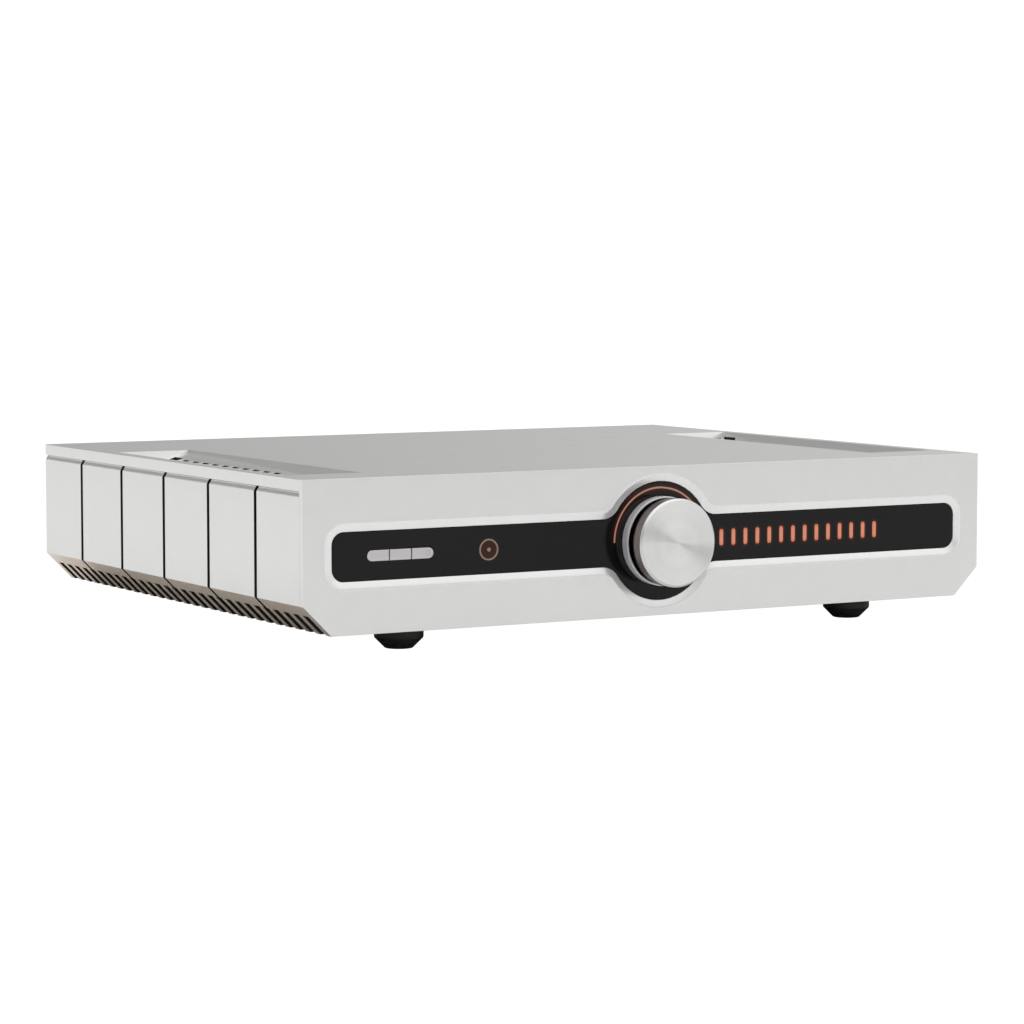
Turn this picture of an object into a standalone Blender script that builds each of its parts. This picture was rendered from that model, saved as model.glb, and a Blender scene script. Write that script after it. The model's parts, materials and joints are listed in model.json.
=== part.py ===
"""Integrated amplifier: a low silver case with a black display strip, a volume knob and rear terminals.

Metres, +Z up, +Y from the front panel to the back. The origin is on the floor under the middle of the box.
"""

import math

import bmesh
import bpy
from mathutils import Matrix, Vector

# Overall sizes
CASE_WIDTH = 0.4320
CASE_DEPTH = 0.3480
CASE_HEIGHT = 0.0813
CASE_LIFT = 0.0120
EDGE_CHAMFER = 0.0160
KNOB_REACH = 0.0180
TERMINAL_REACH = 0.0220
CONTROL_DROP = 0.0407

# Clearances
SEAT_GAP = 0.0003
LIGHT_GAP = 0.0002
RUNNING_GAP = 0.0006
CUT_OVERRUN = 0.0010
WELD_DEPTH = 0.0005

# Planes that most pieces are placed from
FRONT_Y = KNOB_REACH - (KNOB_REACH + CASE_DEPTH + TERMINAL_REACH) / 2
REAR_Y = FRONT_Y + CASE_DEPTH
UNDER_Z = CASE_LIFT
TOP_Z = UNDER_Z + CASE_HEIGHT
CONTROL_Z = TOP_Z - CONTROL_DROP

# Case shells
BEND_LEAN = math.tan(math.radians(45) / 2)
PANEL_THICKNESS = 0.0040
PANEL_BACK_Y = FRONT_Y + PANEL_THICKNESS
SIDE_WALL = 0.0050
SIDE_LIP_WIDTH = 0.0200
SIDE_LIP_THICKNESS = 0.0020
LID_EDGE = 0.0063
LID_SKIN = 0.0022
LID_REVEAL = 0.0030
LID_REVEAL_DEPTH = 0.0016
LID_REAR_RIM = 0.0120
LID_WEB = 0.0065
LEDGE_WIDTH = 0.0080
LEDGE_DEPTH = 0.0055
BASE_THICKNESS = 0.0020
BASE_Z = UNDER_Z + SIDE_LIP_THICKNESS + SEAT_GAP
BASE_TOP = BASE_Z + BASE_THICKNESS
REAR_THICKNESS = 0.0020
REAR_INSIDE_Y = REAR_Y - REAR_THICKNESS - SEAT_GAP
LID_UNDER_Z = TOP_Z - LID_EDGE

# Vents and grooves
GROOVE_PITCH = 0.0589
GROOVE_WIDTH = 0.0030
GROOVE_DEPTH = 0.0032
GROOVE_END_MARGIN = 0.0400
SLOTS_PER_GROOVE = 5
SIDE_SLOT_WIDTH = 0.0064
SIDE_SLOT_DROP = 0.0058
SIDE_SLOT_LIP_RUN = 0.0060
SIDE_SLOT_END_MARGIN = 0.0080
RECESS_RIM = 0.0075
RECESS_WIDTH = 0.0440
RECESS_FRONT = 0.0350
RECESS_BACK = 0.0950
RECESS_DEPTH = 0.0046
RECESS_WALL_RUN = 0.0008
RECESS_SLOPE_RUN = 0.0140
LID_SLOT_PITCH = 0.0133
LID_SLOT_WIDTH = 0.0080
LID_SLOT_INSET = 0.0020
LID_SLOT_NEAR_GAP = 0.0070
LID_SLOT_FRONT_GAP = 0.0620
LID_SLOT_CLIMB = 0.0016
LID_END_SLOT_WIDTH = 0.0125
LID_END_SLOT_CLIMB = 0.0036
LID_END_SLOT_BITE = 0.0010
LID_END_SLOT_ROOF = 0.0030

# Window
WINDOW_SIDE_MARGIN = 0.0171
STRIP_HALF_LENGTH = CASE_WIDTH / 2 - WINDOW_SIDE_MARGIN
STRIP_HALF_HEIGHT = 0.0126
STRIP_CORNER = 0.0065
BULGE_FILLET = 0.0120
WINDOW_BEVEL = 0.0038
WINDOW_RECESS = 0.0008
WINDOW_FLANGE = 0.0040
WINDOW_FLANGE_THICKNESS = 0.0020
WINDOW_Y = FRONT_Y + WINDOW_RECESS
FLANGE_Y = PANEL_BACK_Y + SEAT_GAP
WINDOW_BACK_Y = FLANGE_Y + WINDOW_FLANGE_THICKNESS
CORNER_STEPS = 4
FILLET_STEPS = 4
BULGE_STEPS = 7

# Knob and encoder
KNOB_RADIUS = 0.0240
KNOB_BARREL = 0.0080
KNOB_BEVEL = 0.0011
KNOB_FACE_THICKNESS = 0.0030
KNOB_WALL = 0.0040
HUB_RADIUS = KNOB_RADIUS - KNOB_WALL
HUB_BACK_RECESS = 0.0020
COLLAR_OVERHANG = 0.0003
COLLAR_REACH = 0.0050
COLLAR_WALL = 0.0010
SHAFT_RADIUS = 0.0030
SHAFT_IN_BODY = 0.0040
BUSH_RADIUS = 0.0045
BUSH_REACH = 0.0006
NUT_RADIUS = 0.0070
NUT_THICKNESS = 0.0022
ENCODER_SIZE = 0.0120
ENCODER_DEPTH = 0.0070
GRUB_RADIUS = 0.0015
GRUB_LENGTH = 0.0085
GRUB_SETBACK = 0.0018

# Light guides
ARC_MARGIN = 0.0049
ARC_WIDTH = 0.0007
ARC_RADIUS = KNOB_RADIUS + ARC_MARGIN
BULGE_MARGIN = 0.0031
BULGE_RADIUS = ARC_RADIUS + BULGE_MARGIN
LIGHT_PROUD = 0.0001
LIGHT_BACKING = 0.0022
BACKING_SPREAD = 0.0015
BAR_COUNT = 14
BAR_PITCH = 0.00795
BAR_START_X = 0.0401
BAR_WIDTH = 0.0022
BAR_HEIGHT = 0.0090
RING_FROM_END = 0.0923
RING_RADIUS = 0.0057
RING_WIDTH = 0.0008
RING_DEPTH = 0.0008

# Push buttons and their switches
BUTTON_ROW_FROM_END = 0.0198
BUTTON_ROW_LENGTH = 0.0391
BUTTON_NAMES = ("left_button", "middle_button", "right_button")
BUTTON_HALF_HEIGHT = 0.0029
BUTTON_SPLIT = 0.0004
BUTTON_PROUD = 0.0006
BUTTON_LIP = 0.0008
BUTTON_LIP_THICKNESS = 0.0014
BUTTON_TRAVEL = 0.0010
SWITCH_SIZE = 0.0060
SWITCH_BODY = 0.0035
PLUNGER_RADIUS = 0.0016

# Boards behind the front panel
CONTROL_BOARD_SETBACK = 0.0170
CONTROL_BOARD_INSET = 0.0015
BOARD_THICKNESS = 0.0016
SUBPLATE_SETBACK = 0.0220
SUBPLATE_THICKNESS = 0.0015
BOSS_RADIUS = 0.0035
PANEL_BOSS_INSET = 0.0660
PANEL_BOSS_RISE = 0.0080
BOARD_BOSS_RISE = 0.0060
CONTROL_BOARD_Y = FRONT_Y + CONTROL_BOARD_SETBACK
CONTROL_BOARD_BACK_Y = CONTROL_BOARD_Y + BOARD_THICKNESS
SUBPLATE_Y = FRONT_Y + SUBPLATE_SETBACK
SUBPLATE_BACK_Y = SUBPLATE_Y + SUBPLATE_THICKNESS

# Feet
FOOT_INSET_X = 0.0708
FOOT_INSET_Y = 0.0296
FOOT_RADIUS = 0.0132
FOOT_SOLE_RADIUS = 0.0074
FOOT_WAIST_HEIGHT = 0.0058

# Transformer
TORUS_X = -0.0850
TORUS_FROM_FRONT = 0.1100
TORUS_RADIUS = 0.0580
TORUS_BORE = 0.0160
TORUS_HEIGHT = 0.0480
TORUS_EDGE = 0.0080
TORUS_PAD_RADIUS = 0.0550
TORUS_PAD_THICKNESS = 0.0020
DISH_RADIUS = 0.0380
DISH_THICKNESS = 0.0020
BOLT_RADIUS = 0.0040
BOLT_HEAD_RADIUS = 0.0075
BOLT_HEAD_HEIGHT = 0.0050

# Boards on the base plate
BOARD_LIFT = 0.0080
SUPPLY_X = (0.0000, 0.1300)
SUPPLY_FROM_FRONT = (0.0400, 0.1500)
CAPACITOR_RADIUS = 0.0175
CAPACITOR_HEIGHT = 0.0450
CAPACITOR_SPAN = 0.0500
AMP_HALF_WIDTH = 0.1400
AMP_BEHIND_SUPPLY = 0.0400
AMP_BACK_SPACE = 0.0780
BOARD_BOSS_INSET = 0.0060
SINK_INSIDE_X = 0.0510
SINK_PLATE = 0.0050
SINK_FIN_REACH = 0.0250
SINK_FRONT_SPACE = 0.0600
SINK_BACK_SPACE = 0.0680
SINK_HEAD_SPACE = 0.0030
FIN_PITCH = 0.0110
FIN_THICKNESS = 0.0020
TRANSISTOR_WIDTH = 0.0160
TRANSISTOR_HEIGHT = 0.0200
TRANSISTOR_DEPTH = 0.0045
TRANSISTOR_LIFT = 0.0200
TRANSISTOR_FROM_SINK_END = (0.0350, 0.0650)

# Rear connectors
SOCKET_PITCH_X = 0.0220
SOCKET_PAIRS = 5
SOCKET_FROM_WALL = 0.1510
SOCKET_UPPER_DROP = 0.0313
SOCKET_PITCH_Z = 0.0180
SOCKET_RADIUS = 0.0041
SOCKET_REACH = 0.0095
SOCKET_BORE = 0.0017
SOCKET_BORE_DEPTH = 0.0080
SOCKET_BLOCK_DEPTH = 0.0140
SOCKET_BLOCK_MARGIN = 0.0080
DIGITAL_FROM_WALL = (0.0370, 0.0210)
DIGITAL_HALF_FRAME = 0.0055
DIGITAL_HALF_MOUTH = 0.0036
DIGITAL_MOUTH_DEPTH = 0.0100
DIGITAL_PROUD = 0.0005
INPUT_BOARD_DEPTH = 0.0560
INPUT_BOARD_MARGIN = 0.0030
TERMINAL_RISE = 0.0280
INLET_FROM_SIDE = 0.0510
INLET_FLANGE = (0.0320, 0.0260)
INLET_FLANGE_THICKNESS = 0.0025
INLET_BODY = (0.0270, 0.0200)
INLET_BODY_DEPTH = 0.0220
INLET_MOUTH = (0.0240, 0.0160)
INLET_MOUTH_DEPTH = 0.0170
INLET_PIN = (0.0020, 0.0040)
INLET_PIN_LENGTH = 0.0130
INLET_PIN_PITCH = 0.0070
INLET_PIN_OFFSET = 0.0020
ROCKER_FROM_SIDE = 0.0960
ROCKER_FLANGE = (0.0160, 0.0240)
ROCKER_BODY = (0.0135, 0.0205)
ROCKER_BODY_DEPTH = 0.0160
ROCKER_MOUTH = (0.0114, 0.0184)
ROCKER_MOUTH_DEPTH = 0.0130
ROCKER_FLANGE_THICKNESS = 0.0020
ROCKER_PIVOT_DEPTH = 0.0005
ROCKER_TILT = math.radians(8)
ROCKER_CREST = 0.0034
ROCKER_VALLEY = 0.0026
ROCKER_HEEL = 0.0030
ROCKER_KEEL = 0.0060
POST_FROM_SIDE = (0.1340, 0.1560, 0.1860, 0.2080)
POST_NAMES = ("right_plus", "right_minus", "left_plus", "left_minus")
POST_SHANK_RADIUS = 0.0045
POST_SHANK_LENGTH = 0.0120
POST_BASE_RADIUS = 0.0085
POST_BASE_THICKNESS = 0.0040
POST_STUD_RADIUS = 0.0032
POST_STUD_REACH = 0.0170
POST_BORE = 0.0021
POST_BORE_DEPTH = 0.0120
CAP_RADIUS = 0.0075
CAP_MOUTH = 0.0024
EARTH_FROM_SIDE = 0.1820
EARTH_RADIUS = 0.0020
EARTH_SHANK_RADIUS = 0.0025
EARTH_SHANK_LENGTH = 0.0080
EARTH_BASE_RADIUS = 0.0050
EARTH_BASE_THICKNESS = 0.0020
EARTH_REACH = 0.0110
EARTH_NUT_RADIUS = 0.0045
EARTH_NUT_LENGTH = 0.0060
TERMINAL_Z = UNDER_Z + TERMINAL_RISE
SOCKET_UPPER_Z = TOP_Z - SOCKET_UPPER_DROP
SOCKET_LOWER_Z = SOCKET_UPPER_Z - SOCKET_PITCH_Z
INPUT_BOARD_TOP = SOCKET_LOWER_Z - SOCKET_BLOCK_MARGIN - SEAT_GAP
INPUT_BOARD_Z = INPUT_BOARD_TOP - BOARD_THICKNESS

# Mains harness
HARNESS_RADIUS = 0.0025
HARNESS_STEPS = 4
HARNESS_ROUNDNESS = 2
HARNESS_FLOOR_GAP = 0.0006

# Facets of the round pieces
LARGE_FACETS = 40
MEDIUM_FACETS = 24
SMALL_FACETS = 12
HEX_SIDES = 6
PILL_STEPS = 3
SMOOTH_ANGLE = math.radians(35)

# Finishes: colour, roughness and metallic value
FINISHES = {
    "silver": ((0.72, 0.72, 0.70), 0.38, 1.0),
    "bright": ((0.80, 0.80, 0.79), 0.22, 1.0),
    "steel": ((0.45, 0.46, 0.47), 0.42, 1.0),
    "black_gloss": ((0.012, 0.012, 0.013), 0.08, 0.0),
    "black": ((0.020, 0.020, 0.021), 0.55, 0.0),
    "orange": ((0.95, 0.28, 0.05), 0.30, 0.0),
    "board": ((0.03, 0.16, 0.07), 0.50, 0.0),
    "core": ((0.24, 0.16, 0.06), 0.45, 0.0),
    "sink": ((0.10, 0.10, 0.11), 0.50, 1.0),
    "can": ((0.03, 0.05, 0.16), 0.35, 0.0),
    "brass": ((0.83, 0.62, 0.24), 0.25, 1.0),
    "red": ((0.45, 0.02, 0.02), 0.35, 0.0),
}


def clear_scene():
    """Takes away whatever the scene holds."""
    for obj in list(bpy.data.objects):
        bpy.data.objects.remove(obj, do_unlink=True)


def finish_material(name, finish):
    """Makes the material of one piece."""
    colour, roughness, metallic = FINISHES[finish]
    material = bpy.data.materials.new(f"{name}_{finish}")
    material.use_nodes = True
    shader = material.node_tree.nodes["Principled BSDF"]
    shader.inputs["Base Color"].default_value = (*colour, 1.0)
    shader.inputs["Roughness"].default_value = roughness
    shader.inputs["Metallic"].default_value = metallic
    return material


def point(axis, along, u, v):
    """A point from its place along an axis and its two other coordinates, in X, Y, Z order."""
    if axis == "X":
        return Vector((along, u, v))
    if axis == "Y":
        return Vector((u, along, v))
    return Vector((u, v, along))


def arc(centre, radius, start, end, steps):
    """Points along an arc, with its angles in degrees."""
    turns = [math.radians(start + (end - start) * i / steps) for i in range(steps + 1)]
    return [(centre[0] + radius * math.cos(a), centre[1] + radius * math.sin(a)) for a in turns]


def loft(shape, rings, ring_shaped=False):
    """Skins a row of equal loops, with an end face at each end or back round to the first loop."""
    loops = [[shape.verts.new(place) for place in ring] for ring in rings]
    pairs = list(zip(loops, loops[1:]))
    if ring_shaped:
        pairs.append((loops[-1], loops[0]))
    else:
        shape.faces.new(loops[0])
        shape.faces.new(loops[-1])
    for near, far in pairs:
        for i, corner in enumerate(near):
            j = (i + 1) % len(near)
            shape.faces.new((corner, near[j], far[j], far[i]))


def prism(shape, outline, axis, start, end):
    """Extrudes a flat outline along an axis."""
    loft(shape, [[point(axis, along, u, v) for u, v in outline] for along in (start, end)])


def block(shape, low, high):
    """A box between two corners."""
    outline = [(low[0], low[2]), (high[0], low[2]), (high[0], high[2]), (low[0], high[2])]
    prism(shape, outline, "Y", low[1], high[1])


def turned(shape, axis, centre, profile, facets, bored=False):
    """Turns (radius, place along the axis) pairs about an axis; a bored profile closes on itself."""
    rings = []
    for radius, along in profile:
        circle = arc(centre, radius, 0, 360, facets)[:-1]
        rings.append([point(axis, along, u, v) for u, v in circle])
    loft(shape, rings, ring_shaped=bored)


def rod(shape, axis, centre, radius, start, end, facets):
    """A plain round rod."""
    turned(shape, axis, centre, [(radius, start), (radius, end)], facets)


def washer(shape, axis, centre, radii, span, facets):
    """A plain ring: its outer and inner radii, and its start and end along the axis."""
    outer, inner = radii
    start, end = span
    section = [(outer, start), (outer, end), (inner, end), (inner, start)]
    turned(shape, axis, centre, section, facets, bored=True)


def plate_block(shape, centre, size, start, end):
    """A box facing along the depth: its middle, its width and height, and its start and end in depth."""
    half_x = size[0] / 2
    half_z = size[1] / 2
    low = (centre[0] - half_x, start, centre[1] - half_z)
    high = (centre[0] + half_x, end, centre[1] + half_z)
    block(shape, low, high)


def stadium(low, high, half_height, round_low=True, round_high=True):
    """A bar outline about a level centre line, with round or square ends."""
    if round_high:
        outline = arc((high - half_height, 0), half_height, -90, 90, PILL_STEPS)
    else:
        outline = [(high, -half_height), (high, half_height)]
    if round_low:
        return outline + arc((low + half_height, 0), half_height, 90, 270, PILL_STEPS)
    return outline + [(low, half_height), (low, -half_height)]


def mesh_object(name, shape, origin):
    """Turns a finished shape into an object with its origin at a given place."""
    bmesh.ops.recalc_face_normals(shape, faces=shape.faces)
    shape.transform(Matrix.Translation(-Vector(origin)))
    mesh = bpy.data.meshes.new(name)
    shape.to_mesh(mesh)
    shape.free()
    mesh.shade_smooth()
    mesh.set_sharp_from_angle(angle=SMOOTH_ANGLE)
    obj = bpy.data.objects.new(name, mesh)
    obj.location = origin
    bpy.context.scene.collection.objects.link(obj)
    return obj


def piece(name, shape, finish, origin=(0, 0, 0)):
    """Makes one named piece with its own material."""
    obj = mesh_object(name, shape, origin)
    obj.data.materials.append(finish_material(name, finish))
    return obj


def combine(target, shape, operation):
    """Cuts a shape out of a piece, or welds it on, and hides the tool."""
    tool = mesh_object(f"{target.name}_tool_{len(target.modifiers)}", shape, (0, 0, 0))
    tool.hide_render = True
    tool.display_type = "WIRE"
    modifier = target.modifiers.new(tool.name, "BOOLEAN")
    modifier.operation = operation
    modifier.solver = "EXACT"
    modifier.object = tool


def cut(target, shape):
    """Cuts a shape out of a piece."""
    combine(target, shape, "DIFFERENCE")


def weld(target, shape):
    """Welds a shape onto a piece."""
    combine(target, shape, "UNION")


def centred_places(middle, span, pitch):
    """Places at an even pitch about a middle, as many as fit within a span."""
    count = int(span / pitch) + 1
    return [middle + (i - (count - 1) / 2) * pitch for i in range(count)]


def case_half_width(inset, height):
    """Half the width of the case on its chamfer at a height, moved in by an inset."""
    bend_z = UNDER_Z + EDGE_CHAMFER
    return CASE_WIDTH / 2 - bend_z - inset * math.sqrt(2) + height


def case_outline(inset, floor, roof):
    """The case's outline across its width, moved in by an inset and cut off at a floor and a roof."""
    side = CASE_WIDTH / 2 - inset
    bend_z = UNDER_Z + EDGE_CHAMFER + inset * BEND_LEAN
    foot = case_half_width(inset, floor)
    right = [(foot, floor), (side, bend_z), (side, roof)]
    return right + [(-u, v) for u, v in reversed(right)]


def window_outline(grow):
    """The window's outline about its own middle: a long strip with a round bulge, grown all round."""
    length = STRIP_HALF_LENGTH + grow
    height = STRIP_HALF_HEIGHT + grow
    bulge = BULGE_RADIUS + grow
    fillet = BULGE_FILLET - grow
    corner = STRIP_CORNER + grow
    fillet_z = height + fillet
    fillet_x = math.sqrt((bulge + fillet) ** 2 - fillet_z**2)
    turn = math.degrees(math.atan2(fillet_z, fillet_x))
    quarter = arc((length - corner, height - corner), corner, 0, 90, CORNER_STEPS)
    quarter += arc((fillet_x, fillet_z), fillet, 270, 180 + turn, FILLET_STEPS)
    quarter += arc((0, 0), bulge, turn, 90, BULGE_STEPS)[1:]
    upper = quarter + [(-u, v) for u, v in reversed(quarter[:-1])]
    return upper + [(-u, -v) for u, v in upper]


def window_ring(along, grow):
    """One loop of the window's outline at a place along the depth."""
    return [Vector((u, along, CONTROL_Z + v)) for u, v in window_outline(grow)]


def raised(outline):
    """Moves an outline about the controls' centre line up to its height."""
    return [(u, CONTROL_Z + v) for u, v in outline]


def front_panel():
    """The flat front panel with its bevelled cut-out and the bosses on its back."""
    shape = bmesh.new()
    prism(shape, case_outline(0, UNDER_Z, TOP_Z), "Y", FRONT_Y, PANEL_BACK_Y)
    panel = piece("front_panel", shape, "silver")
    opening = bmesh.new()
    loft(
        opening,
        [
            window_ring(FRONT_Y - WINDOW_RECESS, SEAT_GAP + 2 * WINDOW_BEVEL),
            window_ring(WINDOW_Y, SEAT_GAP),
            window_ring(PANEL_BACK_Y + CUT_OVERRUN, SEAT_GAP),
        ],
    )
    cut(panel, opening)
    bosses = bmesh.new()
    start = PANEL_BACK_Y - WELD_DEPTH
    rise = STRIP_HALF_HEIGHT + WINDOW_FLANGE + PANEL_BOSS_RISE
    for side in (-1, 1):
        for level in (-1, 1):
            centre = (side * (CASE_WIDTH / 2 - PANEL_BOSS_INSET), CONTROL_Z + level * rise)
            rod(bosses, "Y", centre, BOSS_RADIUS, start, SUBPLATE_Y - SEAT_GAP, SMALL_FACETS)
    weld(panel, bosses)


def bar_places():
    """The middles of the light bars across the width."""
    return [BAR_START_X + i * BAR_PITCH for i in range(BAR_COUNT)]


def bar_outline(x, grow):
    """One upright light bar with round ends."""
    half = BAR_WIDTH / 2 + grow
    upright = stadium(-BAR_HEIGHT / 2 - grow, BAR_HEIGHT / 2 + grow, half)
    return [(x - v, CONTROL_Z + u) for u, v in upright]


def arc_band(radius, half_width):
    """The outline of the half-round light arc over the knob."""
    outer = arc((0, CONTROL_Z), radius + half_width, 0, 180, MEDIUM_FACETS)
    return outer + arc((0, CONTROL_Z), radius - half_width, 180, 0, MEDIUM_FACETS)


def ring_centre():
    """The middle of the ring mark."""
    return (RING_FROM_END - STRIP_HALF_LENGTH, CONTROL_Z)


def button_row():
    """The two ends of the row of push buttons."""
    low = BUTTON_ROW_FROM_END - STRIP_HALF_LENGTH
    return low, low + BUTTON_ROW_LENGTH


def display_window():
    """The black window with its rear flange and the openings for lights, buttons and encoder."""
    shape = bmesh.new()
    loft(
        shape,
        [
            window_ring(WINDOW_Y, 0),
            window_ring(FLANGE_Y, 0),
            window_ring(FLANGE_Y, WINDOW_FLANGE),
            window_ring(WINDOW_BACK_Y, WINDOW_FLANGE),
        ],
    )
    window = piece("display_window", shape, "black_gloss")
    holes = bmesh.new()
    start = WINDOW_Y - CUT_OVERRUN
    end = WINDOW_BACK_Y + CUT_OVERRUN
    rod(holes, "Y", (0, CONTROL_Z), BUSH_RADIUS + SEAT_GAP, start, end, MEDIUM_FACETS)
    for x in bar_places():
        prism(holes, bar_outline(x, LIGHT_GAP), "Y", start, end)
    prism(holes, arc_band(ARC_RADIUS, ARC_WIDTH / 2 + LIGHT_GAP), "Y", start, end)
    low, high = button_row()
    row = stadium(low - SEAT_GAP, high + SEAT_GAP, BUTTON_HALF_HEIGHT + SEAT_GAP)
    prism(holes, raised(row), "Y", start, end)
    groove_end = WINDOW_Y + RING_DEPTH + LIGHT_GAP
    outer = RING_RADIUS + LIGHT_GAP
    inner = RING_RADIUS - RING_WIDTH - LIGHT_GAP
    washer(holes, "Y", ring_centre(), (outer, inner), (start, groove_end), MEDIUM_FACETS)
    cut(window, holes)


def light_guides():
    """The orange bars on one backing strip, the arc over the knob and the ring mark."""
    front = WINDOW_Y - LIGHT_PROUD
    seat = WINDOW_BACK_Y + SEAT_GAP
    back = seat + LIGHT_BACKING
    places = bar_places()
    half = BAR_HEIGHT / 2 + BACKING_SPREAD
    spread = BAR_WIDTH / 2 + BACKING_SPREAD
    strip = bmesh.new()
    block(strip, (places[0] - spread, seat, CONTROL_Z - half), (places[-1] + spread, back, CONTROL_Z + half))
    guide = piece("bar_light_guide", strip, "orange")
    bars = bmesh.new()
    for x in places:
        prism(bars, bar_outline(x, 0), "Y", front, seat + WELD_DEPTH)
    weld(guide, bars)
    backing = bmesh.new()
    prism(backing, arc_band(ARC_RADIUS, ARC_WIDTH / 2 + BACKING_SPREAD), "Y", seat, back)
    arc_guide = piece("arc_light_guide", backing, "orange")
    line = bmesh.new()
    prism(line, arc_band(ARC_RADIUS, ARC_WIDTH / 2), "Y", front, seat + WELD_DEPTH)
    weld(arc_guide, line)
    ring = bmesh.new()
    inner = RING_RADIUS - RING_WIDTH
    end = WINDOW_Y + RING_DEPTH
    washer(ring, "Y", ring_centre(), (RING_RADIUS, inner), (front, end), MEDIUM_FACETS)
    piece("ring_light_guide", ring, "orange")


def push_buttons():
    """Three buttons side by side in one row, each with a lip behind the window and a switch behind that."""
    low, high = button_row()
    pitch = (high - low) / len(BUTTON_NAMES)
    lip_y = WINDOW_BACK_Y + SEAT_GAP
    lip_back_y = lip_y + BUTTON_LIP_THICKNESS
    switch_back_y = CONTROL_BOARD_Y - SEAT_GAP
    switch_y = switch_back_y - SWITCH_BODY
    for i, name in enumerate(BUTTON_NAMES):
        start = low + i * pitch + (BUTTON_SPLIT / 2 if i > 0 else 0)
        end = low + (i + 1) * pitch - (BUTTON_SPLIT / 2 if i < len(BUTTON_NAMES) - 1 else 0)
        middle = (start + end) / 2
        origin = (middle, WINDOW_Y, CONTROL_Z)
        face = stadium(start, end, BUTTON_HALF_HEIGHT, i == 0, i == len(BUTTON_NAMES) - 1)
        shape = bmesh.new()
        prism(shape, raised(face), "Y", WINDOW_Y - BUTTON_PROUD, lip_y + WELD_DEPTH)
        button = piece(name, shape, "bright", origin)
        lip = bmesh.new()
        height = BUTTON_HALF_HEIGHT + BUTTON_LIP
        block(lip, (start, lip_y, CONTROL_Z - height), (end, lip_back_y, CONTROL_Z + height))
        weld(button, lip)
        body = bmesh.new()
        plate_block(body, (middle, CONTROL_Z), (SWITCH_SIZE, SWITCH_SIZE), switch_y, switch_back_y)
        switch = piece(f"{name}_switch", body, "black")
        plunger = bmesh.new()
        tip = lip_back_y + BUTTON_TRAVEL + SEAT_GAP
        rod(plunger, "Y", (middle, CONTROL_Z), PLUNGER_RADIUS, tip, switch_y + WELD_DEPTH, SMALL_FACETS)
        weld(switch, plunger)


def volume_control():
    """The knob cap, its hub, grub screw, collar, and the encoder with its shaft and nut."""
    axis = (0, CONTROL_Z)
    origin = (0, FRONT_Y, CONTROL_Z)
    face_y = FRONT_Y - KNOB_REACH
    barrel_back_y = face_y + KNOB_BARREL
    pocket_y = face_y + KNOB_FACE_THICKNESS
    pocket = HUB_RADIUS + SEAT_GAP
    cap = bmesh.new()
    profile = [
        (KNOB_RADIUS - KNOB_BEVEL, face_y),
        (KNOB_RADIUS, face_y + KNOB_BEVEL),
        (KNOB_RADIUS, barrel_back_y),
        (pocket, barrel_back_y),
        (pocket, pocket_y),
    ]
    turned(cap, "Y", axis, profile, LARGE_FACETS)
    piece("volume_knob", cap, "bright", origin)

    bore = SHAFT_RADIUS + SEAT_GAP
    hub_y = pocket_y + SEAT_GAP
    collar_y = FRONT_Y - COLLAR_REACH
    hub_back_y = collar_y + HUB_BACK_RECESS
    hub_shape = bmesh.new()
    washer(hub_shape, "Y", axis, (HUB_RADIUS, bore), (hub_y, hub_back_y), MEDIUM_FACETS)
    hub = piece("knob_hub", hub_shape, "black", origin)
    grub_axis = (0, collar_y - GRUB_SETBACK)
    grub_hole = bmesh.new()
    rod(grub_hole, "Z", grub_axis, GRUB_RADIUS + SEAT_GAP, CONTROL_Z - KNOB_RADIUS, CONTROL_Z, SMALL_FACETS)
    cut(hub, grub_hole)
    grub = bmesh.new()
    grub_top = CONTROL_Z - bore
    rod(grub, "Z", grub_axis, GRUB_RADIUS, grub_top - GRUB_LENGTH, grub_top, SMALL_FACETS)
    piece("knob_grub_screw", grub, "steel", origin)

    collar = bmesh.new()
    outer = KNOB_RADIUS + COLLAR_OVERHANG
    seat = WINDOW_Y - SEAT_GAP
    washer(collar, "Y", axis, (outer, outer - COLLAR_WALL), (collar_y, seat), LARGE_FACETS)
    piece("knob_collar", collar, "bright")

    body_back_y = CONTROL_BOARD_Y - SEAT_GAP
    body_y = body_back_y - ENCODER_DEPTH
    shaft_back_y = body_y + SHAFT_IN_BODY
    shaft = bmesh.new()
    rod(shaft, "Y", axis, SHAFT_RADIUS, hub_y + SEAT_GAP, shaft_back_y, MEDIUM_FACETS)
    piece("encoder_shaft", shaft, "steel", origin)
    body = bmesh.new()
    plate_block(body, axis, (ENCODER_SIZE, ENCODER_SIZE), body_y, body_back_y)
    encoder = piece("encoder_body", body, "steel")
    bush_y = WINDOW_Y - NUT_THICKNESS - BUSH_REACH
    bush = bmesh.new()
    rod(bush, "Y", axis, BUSH_RADIUS, bush_y, body_y + WELD_DEPTH, MEDIUM_FACETS)
    weld(encoder, bush)
    shaft_hole = bmesh.new()
    rod(shaft_hole, "Y", axis, bore, bush_y - CUT_OVERRUN, shaft_back_y + SEAT_GAP, MEDIUM_FACETS)
    cut(encoder, shaft_hole)
    nut_shape = bmesh.new()
    rod(nut_shape, "Y", axis, NUT_RADIUS, seat - NUT_THICKNESS, seat, HEX_SIDES)
    nut = piece("encoder_nut", nut_shape, "brass")
    nut_hole = bmesh.new()
    nut_bore = BUSH_RADIUS + SEAT_GAP
    rod(nut_hole, "Y", axis, nut_bore, seat - NUT_THICKNESS - CUT_OVERRUN, seat + CUT_OVERRUN, MEDIUM_FACETS)
    cut(nut, nut_hole)


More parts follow.
